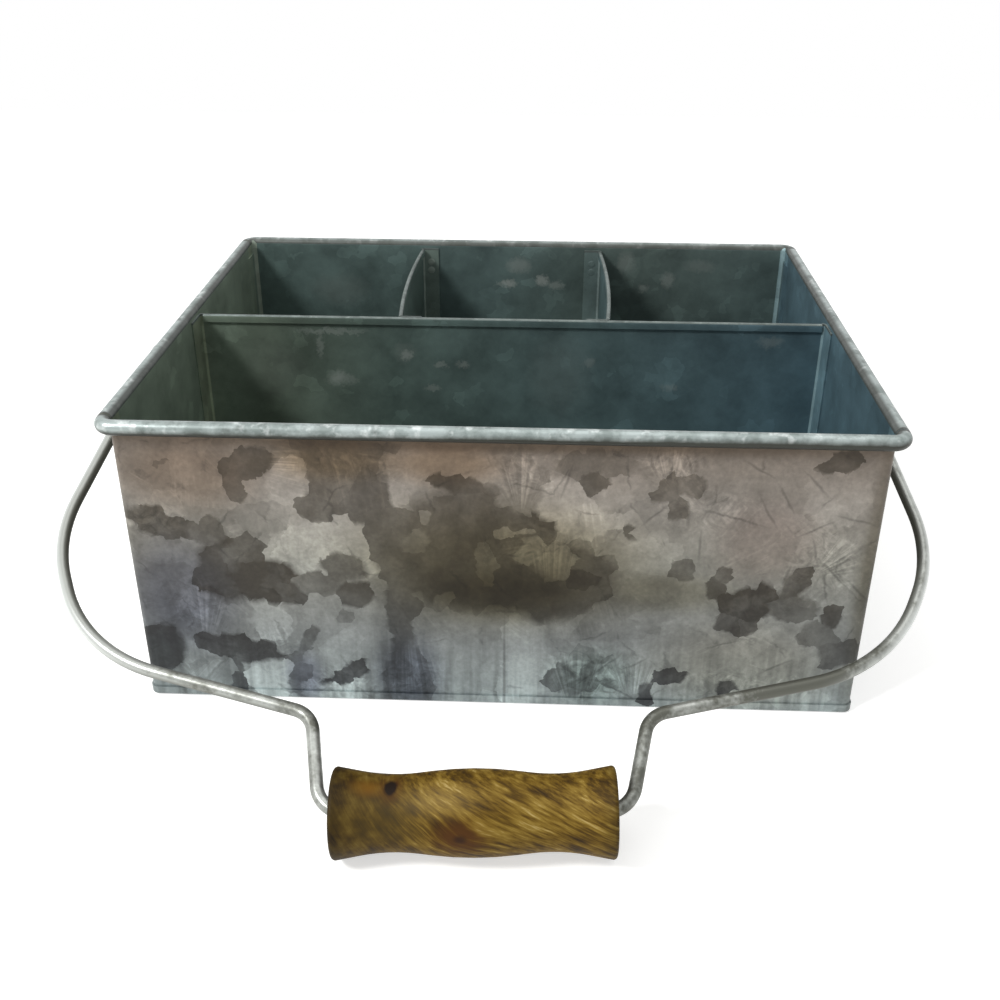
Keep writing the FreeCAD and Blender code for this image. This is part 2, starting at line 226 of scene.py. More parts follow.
def weld_mark(bm: BMesh, place: Vector, facing: Vector, size: float, proud: float, index: int) -> None:
    """Add a spot weld's flattened button to a mesh.

    Args:
        bm: The mesh that gains the button.
        place: The weld's middle, on the sheet's surface.
        facing: The surface's outward direction.
        size: The button's diameter in millimetres.
        proud: How far it stands above the sheet.
        index: The material number for its faces.
    """
    turn = facing.to_track_quat("Z", "Y").to_matrix().to_4x4()
    flat = Matrix.Diagonal((size / 2, size / 2, proud, 1.0))
    known = set(bm.faces)
    matrix = Matrix.Translation(place) @ turn @ flat
    bmesh.ops.create_uvsphere(bm, u_segments=14, v_segments=8, radius=1.0, matrix=matrix)
    for face in bm.faces:
        if face not in known:
            face.material_index = index


def set_up(
    bm: BMesh, name: str, node: str, body: str, materials: Sequence[bpy.types.Material],
) -> bpy.types.Object:
    """Turn a finished mesh into a piece of the caddy.

    Args:
        bm: The mesh, in millimetres; it is freed.
        name: The piece's name.
        node: The solid that it stands for.
        body: The body that it rides on.
        materials: Its finishes, in the order of the faces' numbers.

    Returns:
        The piece.
    """
    bmesh.ops.scale(bm, vec=(MM, MM, MM), verts=bm.verts[:])
    mesh = bpy.data.meshes.new(name)
    bm.to_mesh(mesh)
    bm.free()
    for material in materials:
        mesh.materials.append(material)
    mesh.shade_smooth()
    mesh.set_sharp_from_angle(angle=SHARP_ABOVE)
    piece = bpy.data.objects.new(name, mesh)
    bpy.context.scene.collection.objects.link(piece)
    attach(piece, body)
    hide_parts(node)
    low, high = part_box(node)
    here = [Vector(c) for c in piece.bound_box]
    off = [(end(c[i] for c in here) - bound[i]) / MM for end, bound in ((min, low), (max, high)) for i in range(3)]
    LOG.info("%s: %d faces, off the solid's box by %s mm", name, len(mesh.polygons), " ".join(f"{o:.2f}" for o in off))
    return piece


def linear(colour: str) -> tuple[float, float, float, float]:
    """Turn an sRGB hex colour into linear values with full alpha."""
    parts = [int(colour[i:i + 2], 16) / 255.0 for i in (1, 3, 5)]
    return (*[p / 12.92 if p <= 0.04045 else ((p + 0.055) / 1.055) ** 2.4 for p in parts], 1.0)


def feed(tree: bpy.types.NodeTree, made: bpy.types.Node, wires: Sequence[Any] | dict[Any, Any]) -> None:
    """Feed the inputs of a node.

    Args:
        tree: The tree that the node is in.
        made: The node.
        wires: A value, or the socket that feeds it, for each input in order, or by name or number.
    """
    for key, value in wires.items() if isinstance(wires, dict) else enumerate(wires):
        if isinstance(value, bpy.types.NodeSocket):
            tree.links.new(value, made.inputs[key])
        else:
            made.inputs[key].default_value = value


def add_node(
    tree: bpy.types.NodeTree, kind: str, wires: Sequence[Any] | dict[Any, Any] = (), out: str = "",
    stops: Sequence[tuple[float, str]] = (), **settings: Any,
) -> Any:
    """Add a node to a tree.

    Args:
        tree: The material's or world's node tree.
        kind: The node's type, without its prefix.
        wires: A value, or the socket that feeds it, for each input in order, or by name or number.
        out: The output to give back by name, or ALL; the first one in use if left out.
        stops: Places and colours along a colour ramp.
        settings: The node's other settings.

    Returns:
        The output, or all of them by name.
    """
    made = tree.nodes.new("ShaderNode" + kind)
    for name, value in settings.items():
        setattr(made, name, value)
    feed(tree, made, wires)
    for i, (place, colour) in enumerate(stops):
        stop = made.color_ramp.elements[i] if i < 2 else made.color_ramp.elements.new(place)
        stop.position, stop.color = place, linear(colour)
    if out == ALL:
        return made.outputs
    return made.outputs[out] if out else next(socket for socket in made.outputs if socket.enabled)


def seen_plainly(node: partial) -> bpy.types.NodeSocket:
    """Tell a surface that is looked at from one that only gives light.

    Args:
        node: add_node for the surface's tree.

    Returns:
        The socket, which is 1 for rays from the camera, straight or by way of metal or glass.
    """
    seen = node("LightPath", out=ALL)
    shown = node("Math", (seen["Is Camera Ray"], seen["Is Glossy Ray"]), operation="MAXIMUM")
    return node("Math", (shown, seen["Is Transmission Ray"]), operation="MAXIMUM")


class Finish(ABC):
    """A finish, from what the real surface is."""

    name: str

    @abstractmethod
    def paint(self, node: partial, mm: bpy.types.NodeSocket) -> dict[str, Any]:
        """Lay the finish's pattern.

        Args:
            node: add_node for the material's tree.
            mm: The place on the piece, in millimetres.

        Returns:
            What goes into each input of the surface shader.
        """

    def material(self) -> bpy.types.Material:
        """Build the finish.

        Returns:
            The material.
        """
        material = bpy.data.materials.new(self.name)
        material.use_nodes = True
        tree = material.node_tree
        node = partial(add_node, tree)
        mm = node("VectorMath", {0: node("TexCoord", out="Object"), "Scale": 1 / MM}, operation="SCALE")
        feed(tree, tree.nodes["Principled BSDF"], self.paint(node, mm))
        return material


@dataclass(frozen=True)
class SpangledZinc(Finish):
    """Hot-dip galvanised sheet on the outside, where the zinc froze in large ragged crystals.

    Matt crystals in many greys stand hard-edged against each other, and fine fern lines, fans and creases cross
    them. The tones turn from warm near the rim to cool at the foot as a painted reflection, soft washes lay painted
    shade and reflection over the front, and the vertical streaks at the foot are a painted reflection.
    """

    name: str = "hot_dip_galvanised_spangle"
    # Both ramps run by height: warm towards the rim and cool, bluish at the foot, a painted reflection laid over the
    # crystals' own greys.
    pale: tuple[tuple[float, str], ...] = (
        (0.0, "#a9b5b5"), (0.27, "#959a99"), (0.58, "#a2a198"), (0.8, "#a09a92"), (1.0, "#8e8277"),
    )
    dull: tuple[tuple[float, str], ...] = (
        (0.0, "#363a3d"), (0.22, "#373838"), (0.45, "#3c3831"), (0.68, "#433e35"), (1.0, "#494137"),
    )
    metallic: float = 0.4
    roughness: float = 0.48
    face_y_mm: float = -110.0
    depth_mm: float = 14.0
    height_mm: float = 111.0
    blotch_mm: float = 34.0
    grain_mm: float = 6.0
    crystal_mm: float = 17.0
    fern_mm: float = 1.3
    tooth_mm: float = 1.8
    swirl_mm: float = 6.0
    crease_mm: float = 27.0
    crystals: tuple[tuple[float, float, float, float, float, float], ...] = (
        (0, 55, 300, 300, 0, 0.6), (-110, 98, 28, 17, 0, 0.56), (-118, 101, 4, 1.4, 0, 0.3),
        (-58, 103, 27, 11, 0, 0.2), (-75, 103, 6, 7, 0, 0.42), (-98, 80, 17, 11, 0, 0.48), (-74, 91, 9, 13, 0, 0.72),
        (-66, 67, 20, 12, 15, 0.92), (-50, 70, 9, 13, 30, 0.88), (-58, 88, 16, 7, 15, 0.18), (-45, 87, 12, 9, 0, 0.2),
        (-42, 76, 6, 20, 0, 0.18), (-88, 101, 10, 6, 30, 0.08), (-93, 91, 3.4, 6, 0, 0.1),
        (-122, 50, 14, 24, 0, 0.38), (-122, 77, 13, 5.5, -15, 0.1), (-132, 72, 4, 5, 0, 0.4),
        (-124, 65, 5.5, 5.5, 0, 0.46), (-112, 64, 6, 5.5, 0, 0.52), (-109, 40, 9, 13, 0, 0.44),
        (-100, 58, 12, 15, -15, 0.02), (-92, 64, 8, 9, 0, 0.14), (-105, 73, 7, 5, 0, 0.2), (-84, 53, 12, 10, 0, 0.0),
        (-66, 52, 12, 5, 0, 0.28), (-60, 33, 20, 15, 0, 0.66), (-86, 36, 8, 9, 0, 0.95), (-77, 47, 5, 5.5, 0, 0.06),
        (-56, 60, 9, 6, -15, 0.24), (-53, 48, 7.5, 5, 30, 0.1), (-57, 38, 2, 3, 0, 0.45),
        (-97, 22, 21, 5.5, -15, 0.04), (-72, 27, 3, 7, -30, 0.25), (-128, 22, 9, 12, 0, 0.06),
        (-108, 10, 10, 9, 0, 0.44), (-100, 8, 2.6, 14, 0, 0.12), (-86, 7, 11, 9, 0, 1.0), (-76, 10, 4.5, 14, 0, 0.3),
        (-62, 5, 14, 6, 0, 0.9), (-58, 12, 11, 3.8, 30, 0.03), (-20, 101, 20, 10, 0, 0.66),
        (-34, 92, 5.5, 8, 0, 0.72), (-8, 93, 12, 4, -15, 0.4), (-10, 68, 32, 26, 0, 0.16), (18, 56, 26, 17, 0, 0.12),
        (-14, 95, 13, 4, -15, 0.1), (-36, 48, 6, 34, 0, 0.2), (-26, 82, 2.2, 4.5, 0, 0.45),
        (-30, 71, 5, 6, -30, 0.34), (-20, 47, 5, 2.4, 45, 0.42), (6, 76, 7, 1.6, 0, 0.6), (11, 69, 7.5, 4, 45, 0.52),
        (-4, 63, 4, 8, 0, 0.34), (20, 64, 7, 8, 0, 0.36), (30, 57, 7.5, 3, 0, 0.0), (15, 84, 12, 5, -30, 0.1),
        (28, 88, 20, 9, -15, 0.98), (42, 93, 11, 8, 0, 0.68), (31, 79, 9, 6, 0, 0.9), (8, 95, 8, 12, 0, 0.5),
        (34, 104, 13, 6, 0, 0.34), (35, 97, 5, 3.6, 0, 0.14), (47, 77, 2.2, 4.2, 0, 0.12), (60, 95, 8, 4.2, 30, 0.18),
        (63, 87, 4.2, 5.5, 0, 0.2), (68, 97, 5, 4, 0, 0.24), (66, 61, 5.5, 4, 0, 0.24), (81, 60, 5.5, 3.6, 15, 0.2),
        (80, 52, 3, 7, 30, 0.12), (92, 48, 12, 7.5, 15, 0.0), (108, 57, 5.5, 8, -30, 0.12), (86, 39, 5, 5, 0, 0.08),
        (93, 36, 4.5, 6, 0, 0.16), (108, 46, 8, 6, 0, 0.2), (122, 44, 3, 6, 0, 0.08), (118, 35, 6, 6, 0, 0.26),
        (127, 27, 9, 7, 0, 0.18), (101, 29, 13, 9, 0, 0.74), (117, 107, 8, 4, 15, 0.06), (108, 85, 2.6, 2, 0, 0.16),
        (92, 78, 20, 12, 0, 0.68), (55, 68, 10, 9, 0, 0.74), (118, 73, 9, 6, 0, 0.7), (86, 106, 14, 6, 0, 0.56),
        (118, 92, 12, 11, 0, 0.74), (8, 20, 12, 22, 0, 0.96), (-10, 22, 12, 20, 0, 0.66), (-34, 6, 10, 18, 0, 0.28),
        (23, 13, 5, 7, -30, 0.2), (31, 9, 7, 3.4, 30, 0.26), (37, 18, 9, 2.8, 45, 0.3), (47, 8, 7, 2.2, -30, 0.28),
        (33, 24, 6, 3, -15, 0.4), (52, 12, 8, 8, 0, 0.52), (45, 39, 18, 10, 15, 0.46), (64, 14, 7.5, 4.4, 15, 0.02),
        (57, 5, 2.8, 7, 15, 0.04), (88, 9, 4, 5, 0, 0.1), (118, 5, 8, 6, 0, 0.74), (95, 4, 12, 4, 0, 0.75),
    )
    creases: tuple[tuple[float, float, float, float], ...] = (
        (82, 84, 17, -15), (95, 86, 9, -60), (120, 62, 16, -45), (113, 70, 8, -75), (122, 66, 11, 45),
        (104, 62, 5, 75), (60, 103, 7, 75), (66, 104, 6, 105), (40, 18, 12, 45), (33, 12, 8, 45), (46, 7, 12, -30),
        (52, 20, 7, 30), (72, 72, 9, 90), (56, 85, 9, 45), (130, 55, 9, -45), (90, 103, 8, -30), (110, 98, 9, -45),
        (100, 92, 8, -60), (112, 80, 10, 30), (125, 84, 9, -15), (118, 56, 9, -75), (84, 30, 9, 15),
        (104, 20, 10, 30), (24, 97, 9, 75),
    )
    fans: tuple[tuple[float, float, float, float, float, float, float, float], ...] = (
        (8, 80, 8, 98, 8, 12, 9, 1.5), (60, 90, 60, 105, 8, 7, 9, 1.4), (-140, 104, -75, 104, 6, 6, 40, 1.1),
        (-112, 18, -109, 40, 8, 13, 12, 1.3), (20, 20, 20, 65, 8, 9, 30, 1.2), (112, 60, 121, 68, 9, 9, 8, 1.1),
        (30, -10, 30, 14, 11, 12, 16, 1.5), (52, -4, 52, 14, 8, 8, 14, 1.4), (-35, 60, -33, 13, 11, 13, 30, 1.2),
    )
    # Soft tinted patches of painted shade and painted reflection: middle along and up the front, half length, half
    # width, tint.
    shade_reflection_washes: tuple[tuple[float, float, float, float, str], ...] = (
        (0, 62, 70, 36, "#d2c9ae"), (2, 50, 44, 16, "#b9b2a0"), (-118, 48, 30, 34, "#c6c9dc"),
        (-129, 22, 12, 15, "#c2c6c8"), (-110, 97, 34, 20, "#efe2d6"), (-18, 103, 28, 12, "#f0dfcb"),
        (-58, 104, 30, 12, "#efe0c6"), (62, 52, 34, 12, "#d3cfc2"), (95, 74, 26, 24, "#eee4e2"),
        (-34, 12, 18, 24, "#c4c8d8"), (134, 60, 7, 80, "#c2bdb2"), (0, 111, 200, 5, "#c4b9aa"),
        (-74, 10, 10, 16, "#d8d8e8"), (36, 14, 22, 18, "#d6e0dc"), (92, 20, 50, 28, "#f4ece0"),
    )
    # Painted reflection streaks at the foot: middle along the front, half width, half height, strength.
    reflection_streaks: tuple[tuple[float, float, float, float], ...] = (
        (-42, 8, 70, 0.36), (82, 4, 40, 0.34), (2.4, 0.8, 46, 0.5), (-99, 4, 60, 0.2), (-123, 3, 64, 0.25),
        (-26, 5, 44, 0.2), (-12, 3, 36, 0.12), (-50, 3, 16, 0.3), (110, 2.5, 30, 0.25), (30, 4, 40, 0.2),
    )
    swirls: tuple[tuple[float, float, float, float, float], ...] = (
        (36, 14, 22, 16, 1.0), (-34, 10, 15, 15, 1.0), (-62, 6, 20, 10, 0.7), (88, 10, 24, 12, 0.7),
        (60, 104, 14, 9, 0.8), (8, 100, 13, 12, 0.7), (116, 66, 18, 20, 0.7), (-112, 42, 15, 17, 0.7),
        (-50, 101, 26, 9, 0.6), (14, 72, 24, 14, 0.6), (92, 46, 20, 12, 0.5), (-92, 24, 26, 9, 0.6),
        (-124, 78, 14, 10, 0.8), (76, 86, 26, 12, 0.5), (-66, 66, 26, 14, 0.35),
    )

    def away(
        self, node: partial, spot: bpy.types.NodeSocket, mark: Sequence[float], turn: float = 0.0,
    ) -> bpy.types.NodeSocket:
        """Measure how far a point is from the middle of a mark on the front, in the mark's own half sizes.

        Args:
            node: The material's node maker.
            spot: The point, already turned as the mark lies.
            mark: The mark's middle along and up the front, half length and half width, in mm.
            turn: How far the mark's length leans up from level, in degrees.

        Returns:
            The socket, which is 1 on the mark's outline.
        """
        x, z, half_long, half_wide = mark
        cosine, sine = math.cos(math.radians(turn)), math.sin(math.radians(turn))
        middle = Vector((x * cosine + z * sine, self.face_y_mm, z * cosine - x * sine))
        scale = Vector((1 / half_long, 1 / self.depth_mm, 1 / half_wide))
        shaped = node("VectorMath", (spot, scale, -middle * scale), operation="MULTIPLY_ADD")
        return node("VectorMath", (shaped,), operation="LENGTH")

    def paint(self, node: partial, mm: bpy.types.NodeSocket) -> dict[str, Any]:
        """Lay the pattern."""
        spot = node("SeparateXYZ", (mm,), out=ALL)
        height = node("MapRange", (spot["Z"], 0.0, self.height_mm))

        fray = node("TexNoise", {"Vector": mm, "Scale": 1 / 7.0, "Detail": 4.0, "Roughness": 0.6}, out="Color")
        stray = node("VectorMath", (fray, (0.5,) * 3), operation="SUBTRACT")
        ragged = node("VectorMath", (stray, (5.0,) * 3, mm), operation="MULTIPLY_ADD")
        grain = node("TexVoronoi", {"Vector": ragged, "Scale": 1 / self.grain_mm}, out="Position")
        kept = node("VectorMath", {0: ragged, "Scale": 0.5}, operation="SCALE")
        facet = node("VectorMath", (grain, (0.5,) * 3, kept), operation="MULTIPLY_ADD")
        drift = node("TexNoise", {"Vector": facet, "Scale": 1 / self.blotch_mm, "Detail": 1.4, "Roughness": 0.5})
        spread = node("MapRange", (drift, 0.3, 0.68))
        level = node("Math", (spread, 0.24), operation="SNAP")
        lain = {turn: facet for *_, turn, _ in self.crystals}
        for turn in lain:
            lain[turn] = node("Mapping", {"Vector": facet, "Rotation": (0.0, math.radians(turn), 0.0)})
        for *mark, turn, tone in self.crystals:
            away = self.away(node, lain[turn], mark, turn)
            here = node("MapRange", (away, 0.93, 1.07, 1.0, 0.0))
            level = node("Mix", {0: here, 2: level, 3: tone}, data_type="FLOAT")
        second = node("TexNoise", {"Vector": ragged, "Scale": 1 / 12.0, "Detail": 3.0, "Roughness": 0.55})
        shift = node("MapRange", (second, 0.4, 0.6, -0.06, 0.06))
        level = node("Math", (level, shift), operation="ADD", use_clamp=True)

        cell = node("TexVoronoi", {"Vector": ragged, "Scale": 1 / self.crystal_mm}, out="Color")
        shade = node("SeparateColor", (cell,), out=ALL)
        aim = node("VectorMath", (cell, (0.5,) * 3), operation="SUBTRACT")
        lie = node("VectorMath", (aim,), operation="NORMALIZE")
        along = node("VectorMath", (mm, lie), operation="DOT_PRODUCT")
        ridge = node("TexNoise", {"W": along, "Scale": 1 / self.fern_mm, "Detail": 2.0}, noise_dimensions="1D")
        fern = node("MapRange", (ridge, 0.48, 0.68))
        patchy = node("TexNoise", {"Vector": mm, "Scale": 1 / 9.0, "Detail": 3.0})
        fern_cell = node("MapRange", (shade["Green"], 0.45, 0.7, 0.0, 0.6))
        fern_part = node("MapRange", (patchy, 0.42, 0.62))
        fern_here = node("Math", (fern_cell, fern_part), operation="MULTIPLY")
        lines = node("Math", (fern, fern_here), operation="MULTIPLY")
        for x, z, *mark, count, strength in self.fans:
            aside = node("Math", (spot["X"], x), operation="SUBTRACT")
            above = node("Math", (spot["Z"], z), operation="SUBTRACT")
            swing = node("Math", (aside, above), operation="ARCTAN2")
            rays = node("TexNoise", {"W": swing, "Scale": count, "Detail": 2.0}, noise_dimensions="1D")
            ray = node("MapRange", (rays, 0.44, 0.62))
            near = node("MapRange", (self.away(node, ragged, mark), 0.6, 1.1, strength, 0.0))
            fan = node("Math", (ray, near), operation="MULTIPLY")
            lines = node("Math", (lines, fan), operation="MAXIMUM")
        border = node("TexVoronoi", {"Vector": ragged, "Scale": 1 / self.crease_mm}, feature="DISTANCE_TO_EDGE")
        crease_line = node("MapRange", (border, 0.004, 0.022, 0.6, 0.0))
        crease_part = node("MapRange", (patchy, 0.5, 0.6))
        crease = node("Math", (crease_line, crease_part), operation="MULTIPLY")
        bent = node("VectorMath", (stray, (2.2,) * 3, mm), operation="MULTIPLY_ADD")
        lain = {turn: bent for *_, turn in self.creases}
        for turn in lain:
            lain[turn] = node("Mapping", {"Vector": bent, "Rotation": (0.0, math.radians(turn), 0.0)})
        for *mark, turn in self.creases:
            away = self.away(node, lain[turn], (*mark, 0.7), turn)
            fold = node("MapRange", (away, 0.2, 1.0, 0.75, 0.0))
            crease = node("Math", (crease, fold), operation="MAXIMUM")

        # Painted reflection: the crystal tones turn warm towards the rim and cool at the foot.
        pale = node("ValToRGB", (height,), stops=self.pale)
        dull = node("ValToRGB", (height,), stops=self.dull)
        colour = node("Mix", {0: level, 6: dull, 7: pale}, data_type="RGBA")
        # Painted shade and painted reflection: soft tinted washes multiplied over the front.
        for *mark, tint in self.shade_reflection_washes:
            away = self.away(node, mm, mark)
            shade_wash = node("MapRange", (away, 0.25, 1.05, 1.0, 0.0), interpolation_type="SMOOTHSTEP")
            colour = node("Mix", {0: shade_wash, 6: colour, 7: linear(tint)}, data_type="RGBA", blend_type="MULTIPLY")
        tone = node("MapRange", (shade["Red"], 0.0, 1.0, 0.88, 1.1))
        cloud = node("TexNoise", {"Vector": mm, "Scale": 1 / 11.0, "Detail": 6.0, "Roughness": 0.65})
        gain = node("MapRange", (cloud, 0.3, 0.7, 0.8, 1.22))
        tooth = node("TexNoise", {"Vector": mm, "Scale": 1 / self.tooth_mm, "Detail": 2.0, "Roughness": 0.6})
        fine = node("MapRange", (tooth, 0.3, 0.7, 0.89, 1.12))
        veins = node("MapRange", (lines, 0.0, 2.0, 1.0, 1.8))
        crack = node("MapRange", (crease, 0.0, 1.0, 1.0, 0.52))
        # Painted reflection: vertical streaks at the foot, from noise and from the listed streaks.
        drag = node("VectorMath", (mm, (1.0, 1.0, 0.05)), operation="MULTIPLY")
        streak = node("TexNoise", {"Vector": drag, "Scale": 1 / 3.2, "Detail": 3.0})
        low = node("MapRange", (spot["Z"], 6.0, 46.0, 1.0, 0.0))
        reflected_streaks = node("MapRange", (streak, 0.42, 0.62, 0.12, -0.24))
        streak_reflection = node("Math", (reflected_streaks, low, 1.0), operation="MULTIPLY_ADD")
        for x, wide, tall, strength in self.reflection_streaks:
            away = self.away(node, mm, (x, 0.0, wide, tall))
            run = node("MapRange", (away, 0.4, 1.0, strength, 0.0))
            streak_reflection = node("Math", (streak_reflection, run), operation="SUBTRACT")
        curl = node("TexNoise", {
            "Vector": mm, "Scale": 1 / self.swirl_mm, "Detail": 3.0, "Roughness": 0.6, "Distortion": 2.0,
        })
        ripple = node("MapRange", (curl, 0.36, 0.64, -0.36, 0.36))
        near = [
            node("MapRange", (self.away(node, mm, mark), 0.4, 1.1, strength, 0.0)) for *mark, strength in self.swirls
        ]
        frosted = reduce(lambda so_far, here: node("Math", (here, so_far), operation="MAXIMUM"), near)
        frost = node("Math", (ripple, frosted, 1.0), operation="MULTIPLY_ADD")
        for factor in (tone, fine, frost, veins, crack, streak_reflection):
            gain = node("Math", (gain, factor), operation="MULTIPLY")
        final = node("VectorMath", {0: colour, "Scale": gain}, operation="SCALE")

        rough = node("MapRange", (level, 0.0, 1.0, self.roughness + 0.08, self.roughness - 0.06))
        bump = node("Bump", {"Strength": 0.25, "Distance": 0.00015, "Height": cloud})
        return {"Base Color": final, "Roughness": rough, "Normal": bump, "Metallic": self.metallic}


@dataclass(frozen=True)
class DullZinc(Finish):
    """Galvanised sheet inside the caddy, dark partly as painted shade: olive grey to the left, teal to the right.

    On the back wall the two change sides, and towards the left wall the tone is lighter as painted light. The
    crystals still show through as faint hard-edged patches, and a few scuffs show bare, lighter zinc.
    """

    name: str = "galvanised_sheet_inside_painted_shade"
    # The dark inside tones stand partly for painted shade within the box; the light first stops are painted light on
    # the left wall.
    bloom_and_shade: tuple[tuple[float, str], ...] = (
        (0.0, "#7e8b7b"), (0.05, "#6e7c6e"), (0.12, "#5d695c"), (0.32, "#556660"), (0.6, "#566a6a"), (1.0, "#516a74"),
    )
    back_bloom_and_shade: tuple[tuple[float, str], ...] = (
        (0.0, "#566864"), (0.45, "#546664"), (0.7, "#54625d"), (1.0, "#546563"),
    )
    scuff: str = "#a3aaa4"
    metallic: float = 0.3
    roughness: float = 0.5
    half_mm: float = 140.0
    back_mm: float = 103.0
    grain_mm: float = 5.0
    blotch_mm: float = 17.0
    scuffs: tuple[tuple[float, float, float, float, float, float], ...] = (
        (-4.7, 109.4, 96.2, 5.5, 2.2, 0.8), (13, 109.4, 98.6, 3.4, 3.0, 0.75), (1, 109.4, 106, 6, 4.6, 0.4),
        (20, 109.4, 96, 5, 2.5, 0.45), (55.5, 109.4, 108, 5, 5.5, 0.3), (77, 109.4, 99.6, 3.6, 4.4, 0.4),
        (65, 109.4, 95, 3, 2.4, 0.35), (93, 109.4, 107, 8, 3.6, 0.2), (-91, 109.4, 92, 15, 9, 0.14),
        (-74, 6.4, 84.8, 7.5, 2.8, 0.4), (-76, 6.4, 86.6, 4, 3, 0.3), (-44.7, 6.4, 97, 2.6, 2.8, 0.5),
        (-46, 6.4, 98, 5, 5, 0.15), (-30, 6.4, 92.3, 3.2, 1.6, 0.4), (-20.3, 6.4, 93, 3.2, 2.2, 0.4),
        (-34, 6.4, 82, 3.6, 1.7, 0.35), (-78, 6.4, 107.5, 16, 1.3, 0.4), (-82.5, 6.4, 101, 1.4, 6, 0.35),
        (70, 6.4, 84, 3.6, 1.6, 0.3), (112, 6.4, 105.5, 6, 2.4, 0.25), (35, 6.4, 95, 3, 2.6, 0.25),
        (22, 6.4, 88, 14, 20, 0.1), (-104, 6.4, 90, 14, 14, 0.1),
    )

    def paint(self, node: partial, mm: bpy.types.NodeSocket) -> dict[str, Any]:
        """Lay the pattern."""
        spot = node("SeparateXYZ", (mm,), out=ALL)
        share = node("MapRange", (spot["X"], -self.half_mm, self.half_mm))
        bloom_and_shade = node("ValToRGB", (share,), stops=self.bloom_and_shade)
        behind = node("ValToRGB", (share,), stops=self.back_bloom_and_shade)
        back = node("MapRange", (spot["Y"], self.back_mm, self.back_mm + 5.0))
        bloom_and_shade = node("Mix", {0: back, 6: bloom_and_shade, 7: behind}, data_type="RGBA")
        fray = node("TexNoise", {"Vector": mm, "Scale": 1 / 4.5, "Detail": 3.0}, out="Color")
        stray = node("VectorMath", (fray, (0.5,) * 3), operation="SUBTRACT")
        ragged = node("VectorMath", (stray, (4.0,) * 3, mm), operation="MULTIPLY_ADD")
        grain = node("TexVoronoi", {"Vector": ragged, "Scale": 1 / self.grain_mm}, out="Position")
        drift = node("TexNoise", {"Vector": grain, "Scale": 1 / self.blotch_mm, "Detail": 3.0, "Roughness": 0.6})
        patch = node("MapRange", (drift, 0.56, 0.64, 0.95, 1.22))
        smudge = node("TexNoise", {"Vector": ragged, "Scale": 1 / 24.0, "Detail": 6.0, "Roughness": 0.65})
        smear = node("MapRange", (smudge, 0.32, 0.7, 0.7, 1.34))
        gain = node("Math", (smear, patch), operation="MULTIPLY")
        colour = node("VectorMath", {0: bloom_and_shade, "Scale": gain}, operation="SCALE")
        chafe = node("TexNoise", {"Vector": mm, "Scale": 1 / 1.6, "Detail": 3.0, "Roughness": 0.7}, out="Color")
        nick = node("VectorMath", (chafe, (0.5,) * 3), operation="SUBTRACT")
        torn = node("VectorMath", (nick, (5.0,) * 3, ragged), operation="MULTIPLY_ADD")
        for x, y, z, wide, tall, strength in self.scuffs:
            scale = Vector((1 / wide, 1 / 2.5, 1 / tall))
            shift = -Vector((x, y, z)) * scale
            shaped = node("VectorMath", (torn, scale, shift), operation="MULTIPLY_ADD")
            away = node("VectorMath", (shaped,), operation="LENGTH")
            bare = node("MapRange", (away, 0.5, 1.2, 0.75 * strength, 0.0))
            colour = node("Mix", {0: bare, 6: colour, 7: linear(self.scuff)}, data_type="RGBA")
        rough = node("MapRange", (smudge, 0.0, 1.0, self.roughness - 0.1, self.roughness + 0.1))
        bump = node("Bump", {"Strength": 0.2, "Distance": 0.0002, "Height": smudge})
        return {"Base Color": colour, "Roughness": rough, "Normal": bump, "Metallic": self.metallic}


